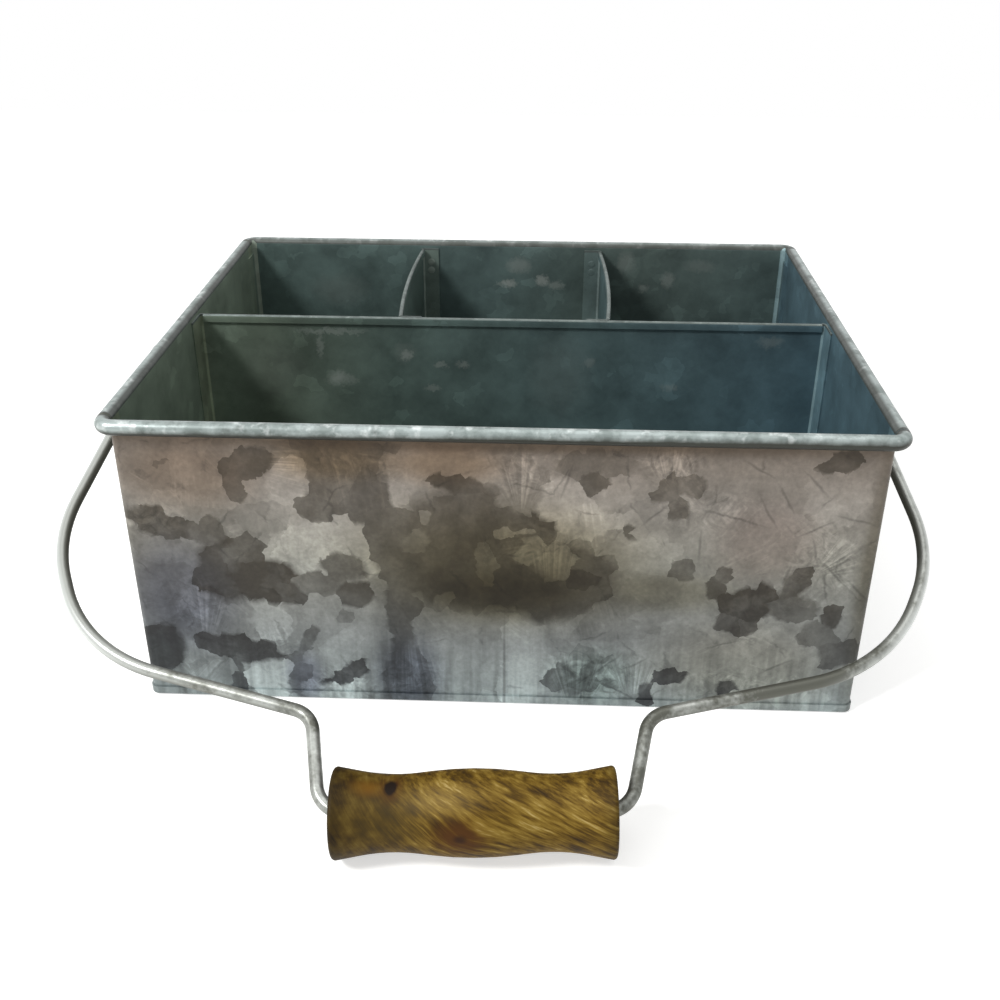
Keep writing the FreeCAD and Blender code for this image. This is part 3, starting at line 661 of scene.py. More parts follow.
@dataclass(frozen=True)
class RubbedZinc(Finish):
    """Galvanised sheet where hands and folding rubbed it bright: cool silver, scuffs and grime, with painted shade
    below and on the inner side.
    """

    name: str = "galvanised_rim_rubbed_bright"
    bright: str = "#a5afad"
    scuff: str = "#808a87"
    fleck: str = "#dfe5e3"
    # This colour serves both real grime and the painted shade below and on the inner side.
    grime_and_shade: str = "#33352f"
    metallic: float = 0.45
    roughness: float = 0.36
    shade_and_soil: float = 0.85
    joint_y_mm: float = 106.7

    def paint(self, node: partial, mm: bpy.types.NodeSocket) -> dict[str, Any]:
        """Lay the pattern."""
        wear = node("TexNoise", {"Vector": mm, "Scale": 1 / 10.0, "Detail": 4.0, "Roughness": 0.65})
        rubbed = node("MapRange", (wear, 0.4, 0.58))
        base = node("Mix", {0: rubbed, 6: linear(self.scuff), 7: linear(self.bright)}, data_type="RGBA")
        grit = node("TexNoise", {"Vector": mm, "Scale": 1 / 4.0, "Detail": 3.0})
        flecks = node("MapRange", (grit, 0.56, 0.74, 0.0, 0.8))
        worn = node("Mix", {0: flecks, 6: base, 7: linear(self.fleck)}, data_type="RGBA")
        # Painted shade: darker where the surface faces down, more so towards the right, with some wear noise mixed in.
        facing = node("NewGeometry", out="Normal")
        down = node("SeparateXYZ", (facing,), out="Z")
        aside = node("SeparateXYZ", (mm,))
        right_shade = node("MapRange", (aside, -60.0, 100.0, 0.0, -0.4))
        wear_and_shade = node("Math", (wear, 0.6, down), operation="MULTIPLY_ADD")
        wear_and_shade = node("Math", (wear_and_shade, right_shade), operation="ADD")
        under = node("MapRange", (wear_and_shade, -0.1, 0.52, 1.0, 0.0))
        # Painted shade on the roll's inner side, which faces into the box.
        level = node("VectorMath", (mm, (1.0, 1.0, 0.0)), operation="MULTIPLY")
        outward = node("VectorMath", (level, facing), operation="DOT_PRODUCT")
        inner_side_shade = node("MapRange", (outward, -78.0, -10.0, self.shade_and_soil, 0.0))
        back = node("Math", (node("SeparateXYZ", (mm,), out="Y"),), operation="ABSOLUTE")
        seam = node("Math", (back, self.joint_y_mm, 0.0), operation="SUBTRACT")
        seam = node("Math", (seam,), operation="ABSOLUTE")
        joint = node("MapRange", (seam, 0.8, 2.4, 0.95, 0.0), interpolation_type="SMOOTHSTEP")
        blot = node("TexNoise", {"Vector": mm, "Scale": 1 / 7.0, "Detail": 3.0, "Roughness": 0.6})
        smudge = node("MapRange", (blot, 0.56, 0.7, 0.0, 0.6 * self.shade_and_soil))
        # The painted shade below and within joins the dark joint and the dirt smudges.
        soil_and_shade = under
        for dirty in (inner_side_shade, joint, smudge):
            soil_and_shade = node("Math", (soil_and_shade, dirty), operation="MAXIMUM")
        colour = node("Mix", {0: soil_and_shade, 6: worn, 7: linear(self.grime_and_shade)}, data_type="RGBA")
        rough = node("MapRange", (wear, 0.0, 1.0, self.roughness + 0.12, self.roughness - 0.08))
        bump = node("Bump", {"Strength": 0.3, "Distance": 0.0002, "Height": wear})
        return {"Base Color": colour, "Roughness": rough, "Normal": bump, "Metallic": self.metallic}


@dataclass(frozen=True)
class DrawnZincWire(Finish):
    """Zinc-plated drawn steel wire: pale grey with a soft gloss and dull patches, with painted shade below and towards
    the right.

    The two arms beside the box carry a painted reflection highlight on the outside and painted shade on the side that
    faces the box.
    """

    name: str = "zinc_plated_drawn_wire"
    bright: str = "#b0b3ae"
    # The dull colour serves both dull patches and painted shade; the pale one is a painted reflection highlight.
    dull_and_shade: str = "#5c5d55"
    reflection_highlight: str = "#e4e8e5"
    metallic: float = 0.55
    roughness: float = 0.32

    def paint(self, node: partial, mm: bpy.types.NodeSocket) -> dict[str, Any]:
        """Lay the pattern."""
        wear = node("TexNoise", {"Vector": mm, "Scale": 1 / 14.0, "Detail": 4.0, "Roughness": 0.6})
        grit = node("TexNoise", {"Vector": mm, "Scale": 1 / 1.6, "Detail": 2.0})
        both = node("Math", (grit, 0.35, wear), operation="MULTIPLY_ADD")
        across = node("SeparateXYZ", (mm,))
        # Painted shade: darker towards the right.
        right_shade = node("MapRange", (across, 40.0, 100.0, 0.0, 0.34))
        both = node("Math", (both, right_shade), operation="ADD")
        out = node("Math", (across,), operation="ABSOLUTE")
        arm = node("MapRange", (out, 112.0, 146.0))
        both = node("Math", (arm, -0.42, both), operation="MULTIPLY_ADD")
        patch = node("MapRange", (both, 0.52, 0.86))
        # Painted shade on the underside.
        facing = node("TexCoord", out="Normal")
        faced = node("SeparateXYZ", (facing,), out=ALL)
        under = node("MapRange", (faced["Z"], -0.55, 0.35, 0.95, 0.0))
        patch = node("Math", (patch, under), operation="MAXIMUM")
        # Painted shade on the arms' side that faces the box.
        side = node("Math", (across,), operation="SIGN")
        outward = node("Math", (faced["X"], side), operation="MULTIPLY")
        inner = node("MapRange", (outward, -0.8, 0.1, 0.9, 0.0))
        inner = node("Math", (inner, arm), operation="MULTIPLY")
        patch = node("Math", (patch, inner), operation="MAXIMUM")
        colour = node("Mix", {0: patch, 6: linear(self.bright), 7: linear(self.dull_and_shade)}, data_type="RGBA")
        # Painted reflection highlight on the arms' outer side.
        outer = node("MapRange", (outward, 0.1, 0.8, 0.0, 0.9))
        outer = node("Math", (outer, arm), operation="MULTIPLY")
        colour = node("Mix", {0: outer, 6: colour, 7: linear(self.reflection_highlight)}, data_type="RGBA")
        rough = node("MapRange", (patch, 0.0, 1.0, self.roughness, self.roughness + 0.15))
        bump = node("Bump", {"Strength": 0.15, "Distance": 0.0001, "Height": grit})
        return {"Base Color": colour, "Roughness": rough, "Normal": bump, "Metallic": self.metallic}


@dataclass(frozen=True)
class TurnedMango(Finish):
    """Turned mango wood under a thin oil: olive gold with long slanting grain, dark pores and two knots."""

    name: str = "turned_mango_wood_oiled"
    centre_mm: tuple[float, float, float] = (-4.3, -187.059, 15.676)
    half_mm: float = 45.7
    grain: tuple[tuple[float, str], ...] = (
        (0.0, "#31220a"), (0.28, "#543e10"), (0.52, "#745a1e"), (0.78, "#907633"), (1.0, "#b59d62"),
    )
    knot: str = "#1d1006"
    eye: str = "#331d0c"
    halo: str = "#5a350f"
    faded: str = "#625430"
    # The tint of the painted highlight on the grip's upper middle.
    highlight_tint: str = "#a8946a"
    orange: str = "#a8741a"
    slant: float = 25.0
    roughness: float = 0.58
    gloss: float = 0.15
    dark_knot: tuple[float, float, float] = (-26.5, -3.3, 13.6)
    ring_knot: tuple[float, float, float] = (-3.7, -13.9, 1.6)
    orange_patch: tuple[float, float, float] = (-33.5, -3.6, 13.5)
    faded_patch: tuple[float, float, float] = (-29.0, -11.2, 8.0)
    # Where the painted highlight sits.
    highlight_patch: tuple[float, float, float] = (-10.4, -7.5, 13.0)

    def paint(self, node: partial, mm: bpy.types.NodeSocket) -> dict[str, Any]:
        """Lay the pattern."""
        own = node("VectorMath", (mm, self.centre_mm), operation="SUBTRACT")
        tilt = math.radians(self.slant)
        rise = Vector((0.0, 0.476, 0.879))
        layers = Vector((math.sin(tilt), *(math.cos(tilt) * rise).yz))
        fibre = Vector((math.cos(tilt), *(-math.sin(tilt) * rise).yz))
        depth = layers.cross(fibre)
        sway = node("TexNoise", {"Vector": own, "Scale": 1 / 26.0, "Detail": 2.0})
        across = node("VectorMath", (own, layers), operation="DOT_PRODUCT")
        along = node("VectorMath", (own, fibre), operation="DOT_PRODUCT")
        inward = node("VectorMath", (own, depth), operation="DOT_PRODUCT")
        across = node("Math", (sway, 2.2, across), operation="MULTIPLY_ADD")
        run = node("SeparateXYZ", (own,))
        past = node("Math", (run, 10.0), operation="ADD")
        left = node("Math", (past, 0.0), operation="MINIMUM")
        bow = node("Math", (left, left), operation="MULTIPLY")
        across = node("Math", (bow, -0.02, across), operation="MULTIPLY_ADD")
        gaps = {}
        for name, middle, squeeze in (
            ("ring", self.ring_knot, (0.75, 1.0, 1.0)), ("dark", self.dark_knot, (1.0, 0.55, 1.0)),
            ("faded", self.faded_patch, (0.75, 1.0, 1.0)), ("orange", self.orange_patch, (0.6, 0.9, 1.0)),
            ("pale", self.highlight_patch, (0.5, 1.0, 1.0)),
        ):
            offset = node("VectorMath", (own, middle), operation="SUBTRACT")
            shaped = node("VectorMath", (offset, squeeze), operation="MULTIPLY")
            gaps[name] = node("VectorMath", (shaped,), operation="LENGTH")
        for name, reach, push in (("ring", 10.0, 2.4), ("dark", 7.0, 2.0)):
            swell = node("MapRange", (gaps[name], 0.0, reach, push, 0.0), interpolation_type="SMOOTHSTEP")
            across = node("Math", (across, swell), operation="ADD")
        line = node("CombineXYZ", (along, across, inward))
        drawn = node("VectorMath", (line, (0.1, 1.0, 0.35)), operation="MULTIPLY")
        broad = node("TexNoise", {"Vector": drawn, "Scale": 1 / 2.0, "Detail": 5.0, "Roughness": 0.66})
        pores = node("TexNoise", {"Vector": drawn, "Scale": 1 / 0.7, "Detail": 2.0})
        figure = node("Math", (pores, 0.36, broad), operation="MULTIPLY_ADD")
        stain = node("TexNoise", {"Vector": own, "Scale": 1 / 20.0, "Detail": 3.0})
        figure = node("Math", (stain, 0.36, figure), operation="MULTIPLY_ADD")
        # The 'pale' lift brightens the grain as a painted highlight; the ring and faded shifts are the wood's own tone.
        for name, reach, lift in (("pale", 9.0, 0.15), ("ring", 12.0, -0.16), ("faded", 16.0, -0.06)):
            shift = node("MapRange", (gaps[name], 0.0, reach, lift, 0.0), interpolation_type="SMOOTHSTEP")
            figure = node("Math", (figure, shift), operation="ADD")
        mottle = node("TexNoise", {"Vector": own, "Scale": 1 / 5.0, "Detail": 3.0})
        plain = node("Math", (mottle, 0.85, 0.43), operation="MULTIPLY_ADD")
        grained = node("MapRange", (run, -self.half_mm + 10.0, -8.0, 0.32, 0.95))
        figure = node("Mix", {0: grained, 2: plain, 3: figure}, data_type="FLOAT")
        tone = node("MapRange", (figure, 0.67, 1.09))
        colour = node("ValToRGB", (tone,), stops=self.grain)
        # The 'pale' row lays the painted highlight's tint; the other rows are the wood's own stains and knots.
        for name, reach, share, tint, firm in (
            ("faded", 15.0, 0.3, self.faded, 0.3), ("orange", 5.0, 0.5, self.orange, 0.1),
            ("pale", 9.0, 0.16, self.highlight_tint, 0.0),
            ("ring", 10.0, 0.5, self.halo, 0.2),
            ("ring", 2.4, 0.8, self.eye, 0.2), ("dark", 6.0, 0.6, self.halo, 0.3), ("dark", 3.3, 1.4, self.knot, 0.6),
        ):
            mark = node("MapRange", (gaps[name], reach * firm, reach, share, 0.0), interpolation_type="SMOOTHSTEP")
            porous = node("MapRange", (figure, 0.7, 1.05, 1.25, 0.7))
            broken = node("Math", (mark, porous), operation="MULTIPLY", use_clamp=True)
            colour = node("Mix", {0: broken, 6: colour, 7: linear(tint)}, data_type="RGBA")
        # Darker at both ends, partly end grain and partly painted shade, and darker towards the left end as painted
        # shade.
        out = node("Math", (run,), operation="ABSOLUTE")
        end = node("MapRange", (out, self.half_mm - 6.0, self.half_mm, 1.0, 0.45))
        left = node("MapRange", (run, -self.half_mm, -12.0, 0.36, 0.96))
        gain = node("Math", (end, left), operation="MULTIPLY")
        final = node("VectorMath", {0: colour, "Scale": gain}, operation="SCALE")
        rough = node("MapRange", (pores, 0.0, 1.0, self.roughness + 0.12, self.roughness - 0.08))
        bump = node("Bump", {"Strength": 0.3, "Distance": 0.0002, "Height": figure})
        return {"Base Color": final, "Roughness": rough, "Normal": bump, "Specular IOR Level": self.gloss}


@dataclass(frozen=True)
class Finishes:
    """Every finish of the caddy, made once."""

    spangle: bpy.types.Material
    bloom_and_shade: bpy.types.Material
    rim: bpy.types.Material
    edge: bpy.types.Material
    hem: bpy.types.Material
    flange: bpy.types.Material
    wire: bpy.types.Material
    wood: bpy.types.Material

    @classmethod
    def make(cls) -> "Finishes":
        """Build all the materials."""
        # The fold finish: lighter than the inside as a painted highlight on the bends.
        edge = DullZinc(
            "galvanised_fold_painted_highlight", ((0.0, "#949f84"), (0.4, "#8c9a92"), (1.0, "#89a5ac")),
            ((0.0, "#8e9a8c"), (0.5, "#8a9791"), (1.0, "#88a2a6")), scuffs=(),
        )
        flange = DullZinc(
            "galvanised_flange_thin_bloom", ((0.0, "#838d77"), (0.4, "#6f7d76"), (1.0, "#6b8892")),
            ((0.0, "#77857a"), (0.5, "#6a7a74"), (1.0, "#698085")), scuffs=(),
        )
        hem = RubbedZinc("galvanised_hem_dulled", "#6d7774", "#5a6360", "#838d89", "#5a625f", 0.35, 0.45, 0.0)
        finishes = (SpangledZinc(), DullZinc(), RubbedZinc(), edge, hem, flange, DrawnZincWire(), TurnedMango())
        return cls(*[finish.material() for finish in finishes])

    def sheet(self) -> list[bpy.types.Material]:
        """The finishes of a sheet piece: outside, inside, rolled rim, fold with painted highlight, hem, flange."""
        return [self.spangle, self.bloom_and_shade, self.rim, self.edge, self.hem, self.flange]


# EDGE is the fold finish, whose lighter colour is a painted highlight on bends; cut edges share it.
OUTSIDE, INSIDE, RIM, EDGE, HEM, FLANGE = range(6)


@dataclass(frozen=True)
class SheetBox:
    """Sizes that the sheet-metal pieces share, in millimetres."""

    width: float = 280.0
    depth: float = 230.0
    height: float = 118.0
    gauge: float = 0.6
    bend: float = 2.0
    roll: float = 2.8
    curl: float = math.radians(310.0)
    neck: float = 1.4
    lap: float = 9.0
    lap_clearance: float = 0.4
    ripple_edge: float = 14.0
    ripple_length: float = 46.0
    joggle: float = 1.2
    stub: float = 0.6
    slit: float = 0.25

    @property
    def inner_x(self) -> float:
        """Half the width between the short walls."""
        return self.width / 2 - 2 * self.roll

    @property
    def inner_y(self) -> float:
        """Half the depth between the long walls."""
        return self.depth / 2 - 2 * self.roll

    @property
    def rim_z(self) -> float:
        """The height of the roll's centre."""
        return self.height - self.roll

    @property
    def neck_z(self) -> float:
        """The height where the sheet leaves the wall for the roll."""
        return self.height - 2 * self.roll - self.neck

    @property
    def stub_end(self) -> float:
        """Where a long wall's roll stops on the short side."""
        return self.inner_y - self.bend - self.stub

    @property
    def leg_end(self) -> float:
        """Where a long wall's return leg stops."""
        return self.inner_y - self.bend - self.lap

    @property
    def side_roll_end(self) -> float:
        """Where a short wall's roll stops."""
        return self.stub_end - self.slit

    @property
    def lap_end(self) -> float:
        """Where a short wall's lap stops, behind the return leg."""
        return self.inner_y - self.bend - self.lap_clearance

    def add_roll(self, bm: BMesh, foot: BMVert, outward: Vector) -> list[BMEdge]:
        """Draw the neck and the curled rim above a point of the wall.

        Args:
            bm: The wall's mesh.
            foot: The wall's highest vertex on this line.
            outward: The direction that the rim curls in.

        Returns:
            The edges of the curl.
        """
        known = set(bm.edges)
        curl = Run(bm, [foot], foot.co, UP, UP.cross(outward))
        curl.straight(self.rim_z - self.neck_z)
        curl.bend(self.roll, self.curl, 30)
        return new_edges(bm, known)

    def finish_of(self, face: BMFace, drawn: bool) -> int:
        """The finish of a wall's face.

        Args:
            face: The face.
            drawn: Whether it is on the inner side that the wall was drawn on.

        Returns:
            The material number.
        """
        middle = face.calc_center_median()
        proud = max(abs(middle.x) - self.inner_x, abs(middle.y) - self.inner_y)
        if middle.z > self.neck_z and proud > (0.05 if drawn else self.gauge + 0.05):
            return RIM
        # Faces on the corner bends take the fold finish, a painted highlight.
        if drawn and min(abs(middle.x) - self.inner_x, abs(middle.y) - self.inner_y) > -self.bend:
            return EDGE
        if drawn and abs(middle.x) > self.inner_x - 0.05 and abs(middle.y) > self.leg_end:
            return FLANGE
        return INSIDE if drawn else OUTSIDE

    def dress(self, bm: BMesh, drawn: Sequence[BMFace], backs: Sequence[BMFace]) -> None:
        """Number the finishes of a wall, with its cut edges in the fold finish.

        Args:
            bm: The wall with its thickness.
            drawn: The faces of its inner side.
            backs: The faces of its outer side.
        """
        for face in bm.faces:
            face.material_index = INSIDE if face.normal.z > 0.7 else EDGE
        for faces, inner in ((drawn, True), (backs, False)):
            for face in faces:
                face.material_index = self.finish_of(face, inner)

    def ripple(self, bm: BMesh, depth: float) -> None:
        """Give the walls the slight waves of hand-folded sheet.

        Args:
            bm: The wall, before it has its thickness.
            depth: The most that a wave stands off, in millimetres.
        """
        for vertex in bm.verts:
            x, y, z = vertex.co
            if z > self.neck_z:
                continue
            upright = min(z - self.gauge, self.neck_z - z)
            on_end = abs(abs(y) - self.inner_y) < 0.01
            on_side = abs(abs(x) - self.inner_x) < 0.01
            reach = self.inner_x - self.bend - abs(x) if on_end else self.side_roll_end - self.ripple_edge - abs(y)
            if not (on_end or on_side) or reach <= 0.0:
                continue
            fade = max(0.0, min(1.0, upright / self.ripple_edge, reach / self.ripple_edge))
            wave = depth * fade * noise.noise(vertex.co / self.ripple_length + Vector((3.1, 0.7, 9.2)))
            vertex.co += Vector((0.0, wave, 0.0)) if on_end else Vector((wave, 0.0, 0.0))


@dataclass
class LongWall:
    """The front or back wall, folded round the corners, with its rolled rim."""

    end: End
    box: SheetBox = field(default_factory=SheetBox)
    rows: int = 26
    columns: int = 64
    wave: float = 0.22
    weld_size: float = 4.2
    weld_proud: float = 0.12
    weld_inset: float = 4.6
    weld_heights: tuple[float, ...] = (16.0, 52.0, 88.0)

    def mesh(self) -> BMesh:
        """Fold the wall.

        Returns:
            The finished mesh.
        """
        box, toward = self.box, self.end.value
        bm = bmesh.new()
        foot = Vector((-box.inner_x, toward * box.leg_end, box.gauge))
        rise = Run(bm, [bm.verts.new(foot)], foot, UP, UP.cross(Vector((-1.0, 0.0, 0.0))))
        rise.straight(box.neck_z - box.gauge, self.rows)
        sheet = Run(bm, bm.edges[:], foot, Vector((0.0, toward, 0.0)), UP)
        sheet.straight(box.stub_end - box.leg_end, 3)
        curl = box.add_roll(bm, sheet.corner(box.neck_z), Vector((-1.0, 0.0, 0.0)))
        sheet.carried = sheet.edges() + curl
        sheet.straight(box.stub)
        sheet.bend(box.bend, -toward * math.pi / 2, 8)
        sheet.straight(2 * (box.inner_x - box.bend), self.columns)
        sheet.bend(box.bend, -toward * math.pi / 2, 8)
        sheet.straight(box.stub)
        sheet.keep(0.0, box.neck_z)
        sheet.straight(box.stub_end - box.leg_end, 3)
        box.ripple(bm, self.wave)
        inward = Vector((0.0, -toward, 0.0))
        drawn, backs = thicken(bm, box.gauge, Vector((0.0, toward * box.inner_y, box.height / 2)), inward)
        box.dress(bm, drawn, backs)
        for side in Side:
            for height in self.weld_heights:
                along = toward * (box.leg_end + self.weld_inset)
                spot = Vector((side.value * (box.inner_x + box.gauge), along, height))
                weld_mark(bm, spot, Vector((side.value, 0.0, 0.0)), self.weld_size, self.weld_proud, OUTSIDE)
        return bm

    def build(self, finishes: Finishes) -> bpy.types.Object:
        """Fold and dress the wall."""
        name = self.end.name.lower()
        return set_up(self.mesh(), f"{name}_wall_sheet", f"{name}_wall", "box", finishes.sheet())


@dataclass
class ShortWall:
    """The left or right wall, joggled at its ends to lap behind the long walls' legs."""

    side: Side
    box: SheetBox = field(default_factory=SheetBox)
    rows: int = 26
    columns: int = 44
    wave: float = 0.18

    def mesh(self) -> BMesh:
        """Fold the wall.

        Returns:
            The finished mesh.
        """
        box, toward = self.box, self.side.value
        outward = Vector((toward, 0.0, 0.0))
        bm = bmesh.new()
        start = box.leg_end - box.joggle
        foot = Vector((toward * box.inner_x, -start, box.gauge))
        rise = Run(bm, [bm.verts.new(foot)], foot, UP, UP.cross(outward))
        rise.straight(box.neck_z - box.gauge, self.rows)
        wall = bm.edges[:]
        curl = box.add_roll(bm, rise.corner(box.neck_z), outward)
        for heading in (1.0, -1.0):
            far = Run(bm, wall + curl, foot, Vector((0.0, heading, 0.0)), UP)
            if heading > 0.0:
                far.straight(2 * start, self.columns)
            every = far.edges()
            upper = [e for e in every if max(v.co.z for v in e.verts) > box.neck_z + 0.01]
            top = Run(bm, upper, far.place, far.heading, UP)
            top.straight(box.side_roll_end - start, 4)
            lower = Run(bm, [e for e in every if e not in upper], far.place, far.heading, UP)
            lower.heading = (far.heading * box.joggle - outward * box.gauge).normalized()
            lower.straight(math.hypot(box.joggle, box.gauge), 2)
            lower.heading = far.heading
            lower.straight(box.lap_end - box.leg_end, 3)
        box.ripple(bm, self.wave)
        drawn, backs = thicken(bm, box.gauge, Vector((toward * box.inner_x, 0.0, box.height / 2)), -outward)
        box.dress(bm, drawn, backs)
        return bm

    def build(self, finishes: Finishes) -> bpy.types.Object:
        """Fold and dress the wall."""
        name = self.side.name.lower()
        return set_up(self.mesh(), f"{name}_wall_sheet", f"{name}_wall", "box", finishes.sheet())


@dataclass
class BasePan:
    """The bottom, a flat plate with a low lip turned up round the walls."""

    box: SheetBox = field(default_factory=SheetBox)
    lip: float = 3.4
    clearance: float = 0.02

    def mesh(self) -> BMesh:
        """Fold the pan.

        Returns:
            The finished mesh.
        """
        box = self.box
        grow = 2 * box.gauge + self.clearance
        bm = bmesh.new()
        half = Matrix.Diagonal((box.inner_x + grow, box.inner_y + grow, 1.0, 1.0))
        bmesh.ops.create_grid(bm, x_segments=1, y_segments=1, size=1.0, matrix=half)
        bmesh.ops.bevel(
            bm, geom=bm.verts[:], offset=box.bend + grow, affect="VERTICES",
            segments=8, profile=0.5, material=-1,
        )
        border = bm.edges[:]
        side = Run(bm, border, Vector(), UP, UP)
        side.straight(self.lip)
        bmesh.ops.bevel(
            bm, geom=border, offset=box.gauge, affect="EDGES",
            segments=3, profile=0.5, material=-1,
        )
        _, backs = thicken(bm, box.gauge, Vector(), -UP)
        for face in backs:
            face.material_index = INSIDE
        return bm

    def build(self, finishes: Finishes) -> bpy.types.Object:
        """Fold and dress the pan."""
        return set_up(self.mesh(), "base_pan_sheet", "base_pan", "box", finishes.sheet())


@dataclass
class Divider:
    """What the dividers share: a web with a hemmed top edge between two bent flanges."""

    box: SheetBox = field(default_factory=SheetBox)
    drop: float = 3.6
    setback: float = 7.0
    bend: float = 1.8
    hem: float = 3.4
    rows: int = 20
    weld_size: float = 3.6
    weld_proud: float = 0.12
    weld_share: float = 0.55

    @property
    def top(self) -> float:
        """The height of the hemmed edge."""
        return self.box.height - self.drop

    @property
    def fold(self) -> float:
        """The outer radius of the hem's fold."""
        return 1.5 * self.box.gauge

    def folded(
        self, bm: BMesh, corners: Sequence[Vector], radii: Sequence[float], forward: Vector,
        turn_in: int, turn_out: int,
    ) -> None:
        """Fold a divider along its plan, with a hem on the web between two of its bends.

        Args:
            bm: The empty mesh.
            corners: The plan's corners at the sheet's foot, on the side away from the hem.
            radii: The bend radius at each inner corner.
            forward: The side that the hem folds to.
            turn_in: The number of the bend that the web starts after.
            turn_out: The number of the bend that the web ends before.
        """
        legs = fold_line(corners, radii, UP)
        foot, first = corners[0], corners[1] - corners[0]
        rise = Run(bm, [bm.verts.new(foot)], foot, UP, UP.cross(forward))
        rise.straight(self.top - self.hem - foot.z, self.rows)
        rise.straight(self.hem - self.fold, 2)
        rise.straight(self.fold)
        sheet = Run(bm, bm.edges[:], foot, first, UP)
        sheet.follow(legs[:turn_in + 1], 4.0, 15.0)
        sheet.keep(0.0, self.top - self.fold)
        known = set(bm.edges)
        crest = sheet.corner(self.top - self.fold)
        hem = Run(bm, [crest], crest.co, UP, UP.cross(forward))
        hem.bend(self.fold, math.pi, 10)
        hem.straight(self.hem - self.fold, 2)
        sheet.carried = sheet.edges() + new_edges(bm, known)
        sheet.follow(legs[turn_in + 1:turn_out] + [Leg(legs[turn_out].length)], 4.0, 0.4)
        sheet.keep(0.0, self.top - self.fold)
        crest = sheet.corner(self.top - self.fold)
        known = set(bm.edges)
        Run(bm, [crest], crest.co, UP, UP.cross(forward)).straight(self.fold)
        sheet.carried = sheet.edges() + new_edges(bm, known)
        last = legs[turn_out]
        sheet.follow([Leg(0.0, last.radius, last.turn)] + legs[turn_out + 1:], 4.0, 15.0)

    def dress(self, bm: BMesh, sides: Sequence[BMFace], forward: Vector) -> None:
        """Number the finishes: a painted highlight on the folds, less bright finishes on the crest and the flanges,
        dull elsewhere.

        Args:
            bm: The divider with its thickness.
            sides: The faces of its two sides, which leave out the cut edges.
            forward: The side that the web faces.
        """
        for face in bm.faces:
            face.material_index = INSIDE
        for face in sides:
            tilted = max(abs(face.normal.x), abs(face.normal.y)) < 0.97
            aside = abs(face.normal.dot(forward)) < 0.3
            face.material_index = EDGE if tilted else FLANGE if aside else INSIDE
        for face in bm.faces:
            if face.calc_center_median().z > self.top - self.fold * 0.8:
                face.material_index = HEM


@dataclass
class LongDivider(Divider):
    """The divider across the whole width, its flanges bent forward against the short walls."""

    flange: float = 13.0
    wave: float = 0.2
    weld_heights: tuple[float, ...] = (14.0, 46.0, 78.0)

    def mesh(self) -> BMesh:
        """Fold the divider.

        Returns:
            The finished mesh.
        """
        box = self.box
        bm = bmesh.new()
        corners = [
            Vector((x * box.inner_x, y, box.gauge))
            for x, y in (
                (-1, self.setback - self.flange), (-1, self.setback),
                (1, self.setback), (1, self.setback - self.flange),
            )
        ]
        self.folded(bm, corners, (self.bend, self.bend), Vector((0.0, -1.0, 0.0)), 0, 1)
        low_hem = self.top - self.hem
        for vertex in bm.verts:
            aside = (box.inner_x - 10.0 - abs(vertex.co.x)) / 20.0
            reach = min(aside, (low_hem - vertex.co.z) / 12.0, (vertex.co.z - box.gauge) / 12.0)
            if reach > 0.0 and abs(vertex.co.y - self.setback) < 0.01:
                vertex.co.y -= self.wave * min(1.0, reach) * abs(noise.noise(vertex.co / 40.0))
        drawn, backs = thicken(bm, box.gauge, Vector((0.0, self.setback, box.height / 2)), Vector((0.0, 1.0, 0.0)))
        self.dress(bm, drawn + backs, Vector((0.0, 1.0, 0.0)))
        for side in Side:
            for height in self.weld_heights:
                along = self.setback - self.flange * self.weld_share
                spot = Vector((side.value * (box.inner_x - box.gauge), along, height))
                weld_mark(bm, spot, Vector((-side.value, 0.0, 0.0)), self.weld_size, self.weld_proud, FLANGE)
        return bm

    def build(self, finishes: Finishes) -> bpy.types.Object:
        """Fold and dress the divider."""
        return set_up(self.mesh(), "long_divider_sheet", "long_divider", "box", finishes.sheet())


@dataclass
class CrossDivider(Divider):
    """One of the two short dividers behind the long one, slightly bowed, flanges turned to the middle."""

    side: Side = Side.LEFT
    offset: float = 48.0
    front_flange: float = 10.0
    weld_heights: tuple[float, ...] = (14.0, 58.0, 103.2, 107.4)
    rear_flange: float = 8.5
    bow: float = 1.8

    def mesh(self) -> BMesh:
        """Fold the divider.

        Returns:
            The finished mesh.
        """
        box, toward = self.box, self.side.value
        bm = bmesh.new()
        near, far = self.setback, box.inner_y
        middle, half = (near + far) / 2, (far - near) / 2
        turn = 2 * math.atan2(2 * self.bow, half)
        radius = (half - 8.0) / math.tan(turn / 2)
        corners = [
            Vector((toward * x, y, box.gauge))
            for x, y in (
                (self.offset - self.front_flange, near), (self.offset, near), (self.offset + 2 * self.bow, middle),
                (self.offset, far), (self.offset - self.rear_flange, far),
            )
        ]
        inward = Vector((-toward, 0.0, 0.0))
        self.folded(bm, corners, (self.bend, radius, self.bend), inward, 0, 2)
        centre = Vector((toward * (self.offset + self.bow), middle, box.height / 2))
        drawn, backs = thicken(bm, box.gauge, centre, -inward)
        self.dress(bm, drawn + backs, inward)
        # The left divider's weld buttons take the fold finish, a painted highlight.
        look = EDGE if self.side is Side.LEFT else FLANGE
        ends = ((near + box.gauge, 1.0, self.front_flange), (far - box.gauge, -1.0, self.rear_flange))
        for y, facing, flange in ends:
            for height in self.weld_heights:
                spot = Vector((toward * (self.offset - flange * self.weld_share), y, height))
                weld_mark(bm, spot, Vector((0.0, facing, 0.0)), self.weld_size, self.weld_proud, look)
        return bm

    def build(self, finishes: Finishes) -> bpy.types.Object:
        """Fold and dress the divider."""
        name = self.side.name.lower()
        node = f"{name}_cross_divider"
        return set_up(self.mesh(), f"{node}_sheet", node, "box", finishes.sheet())


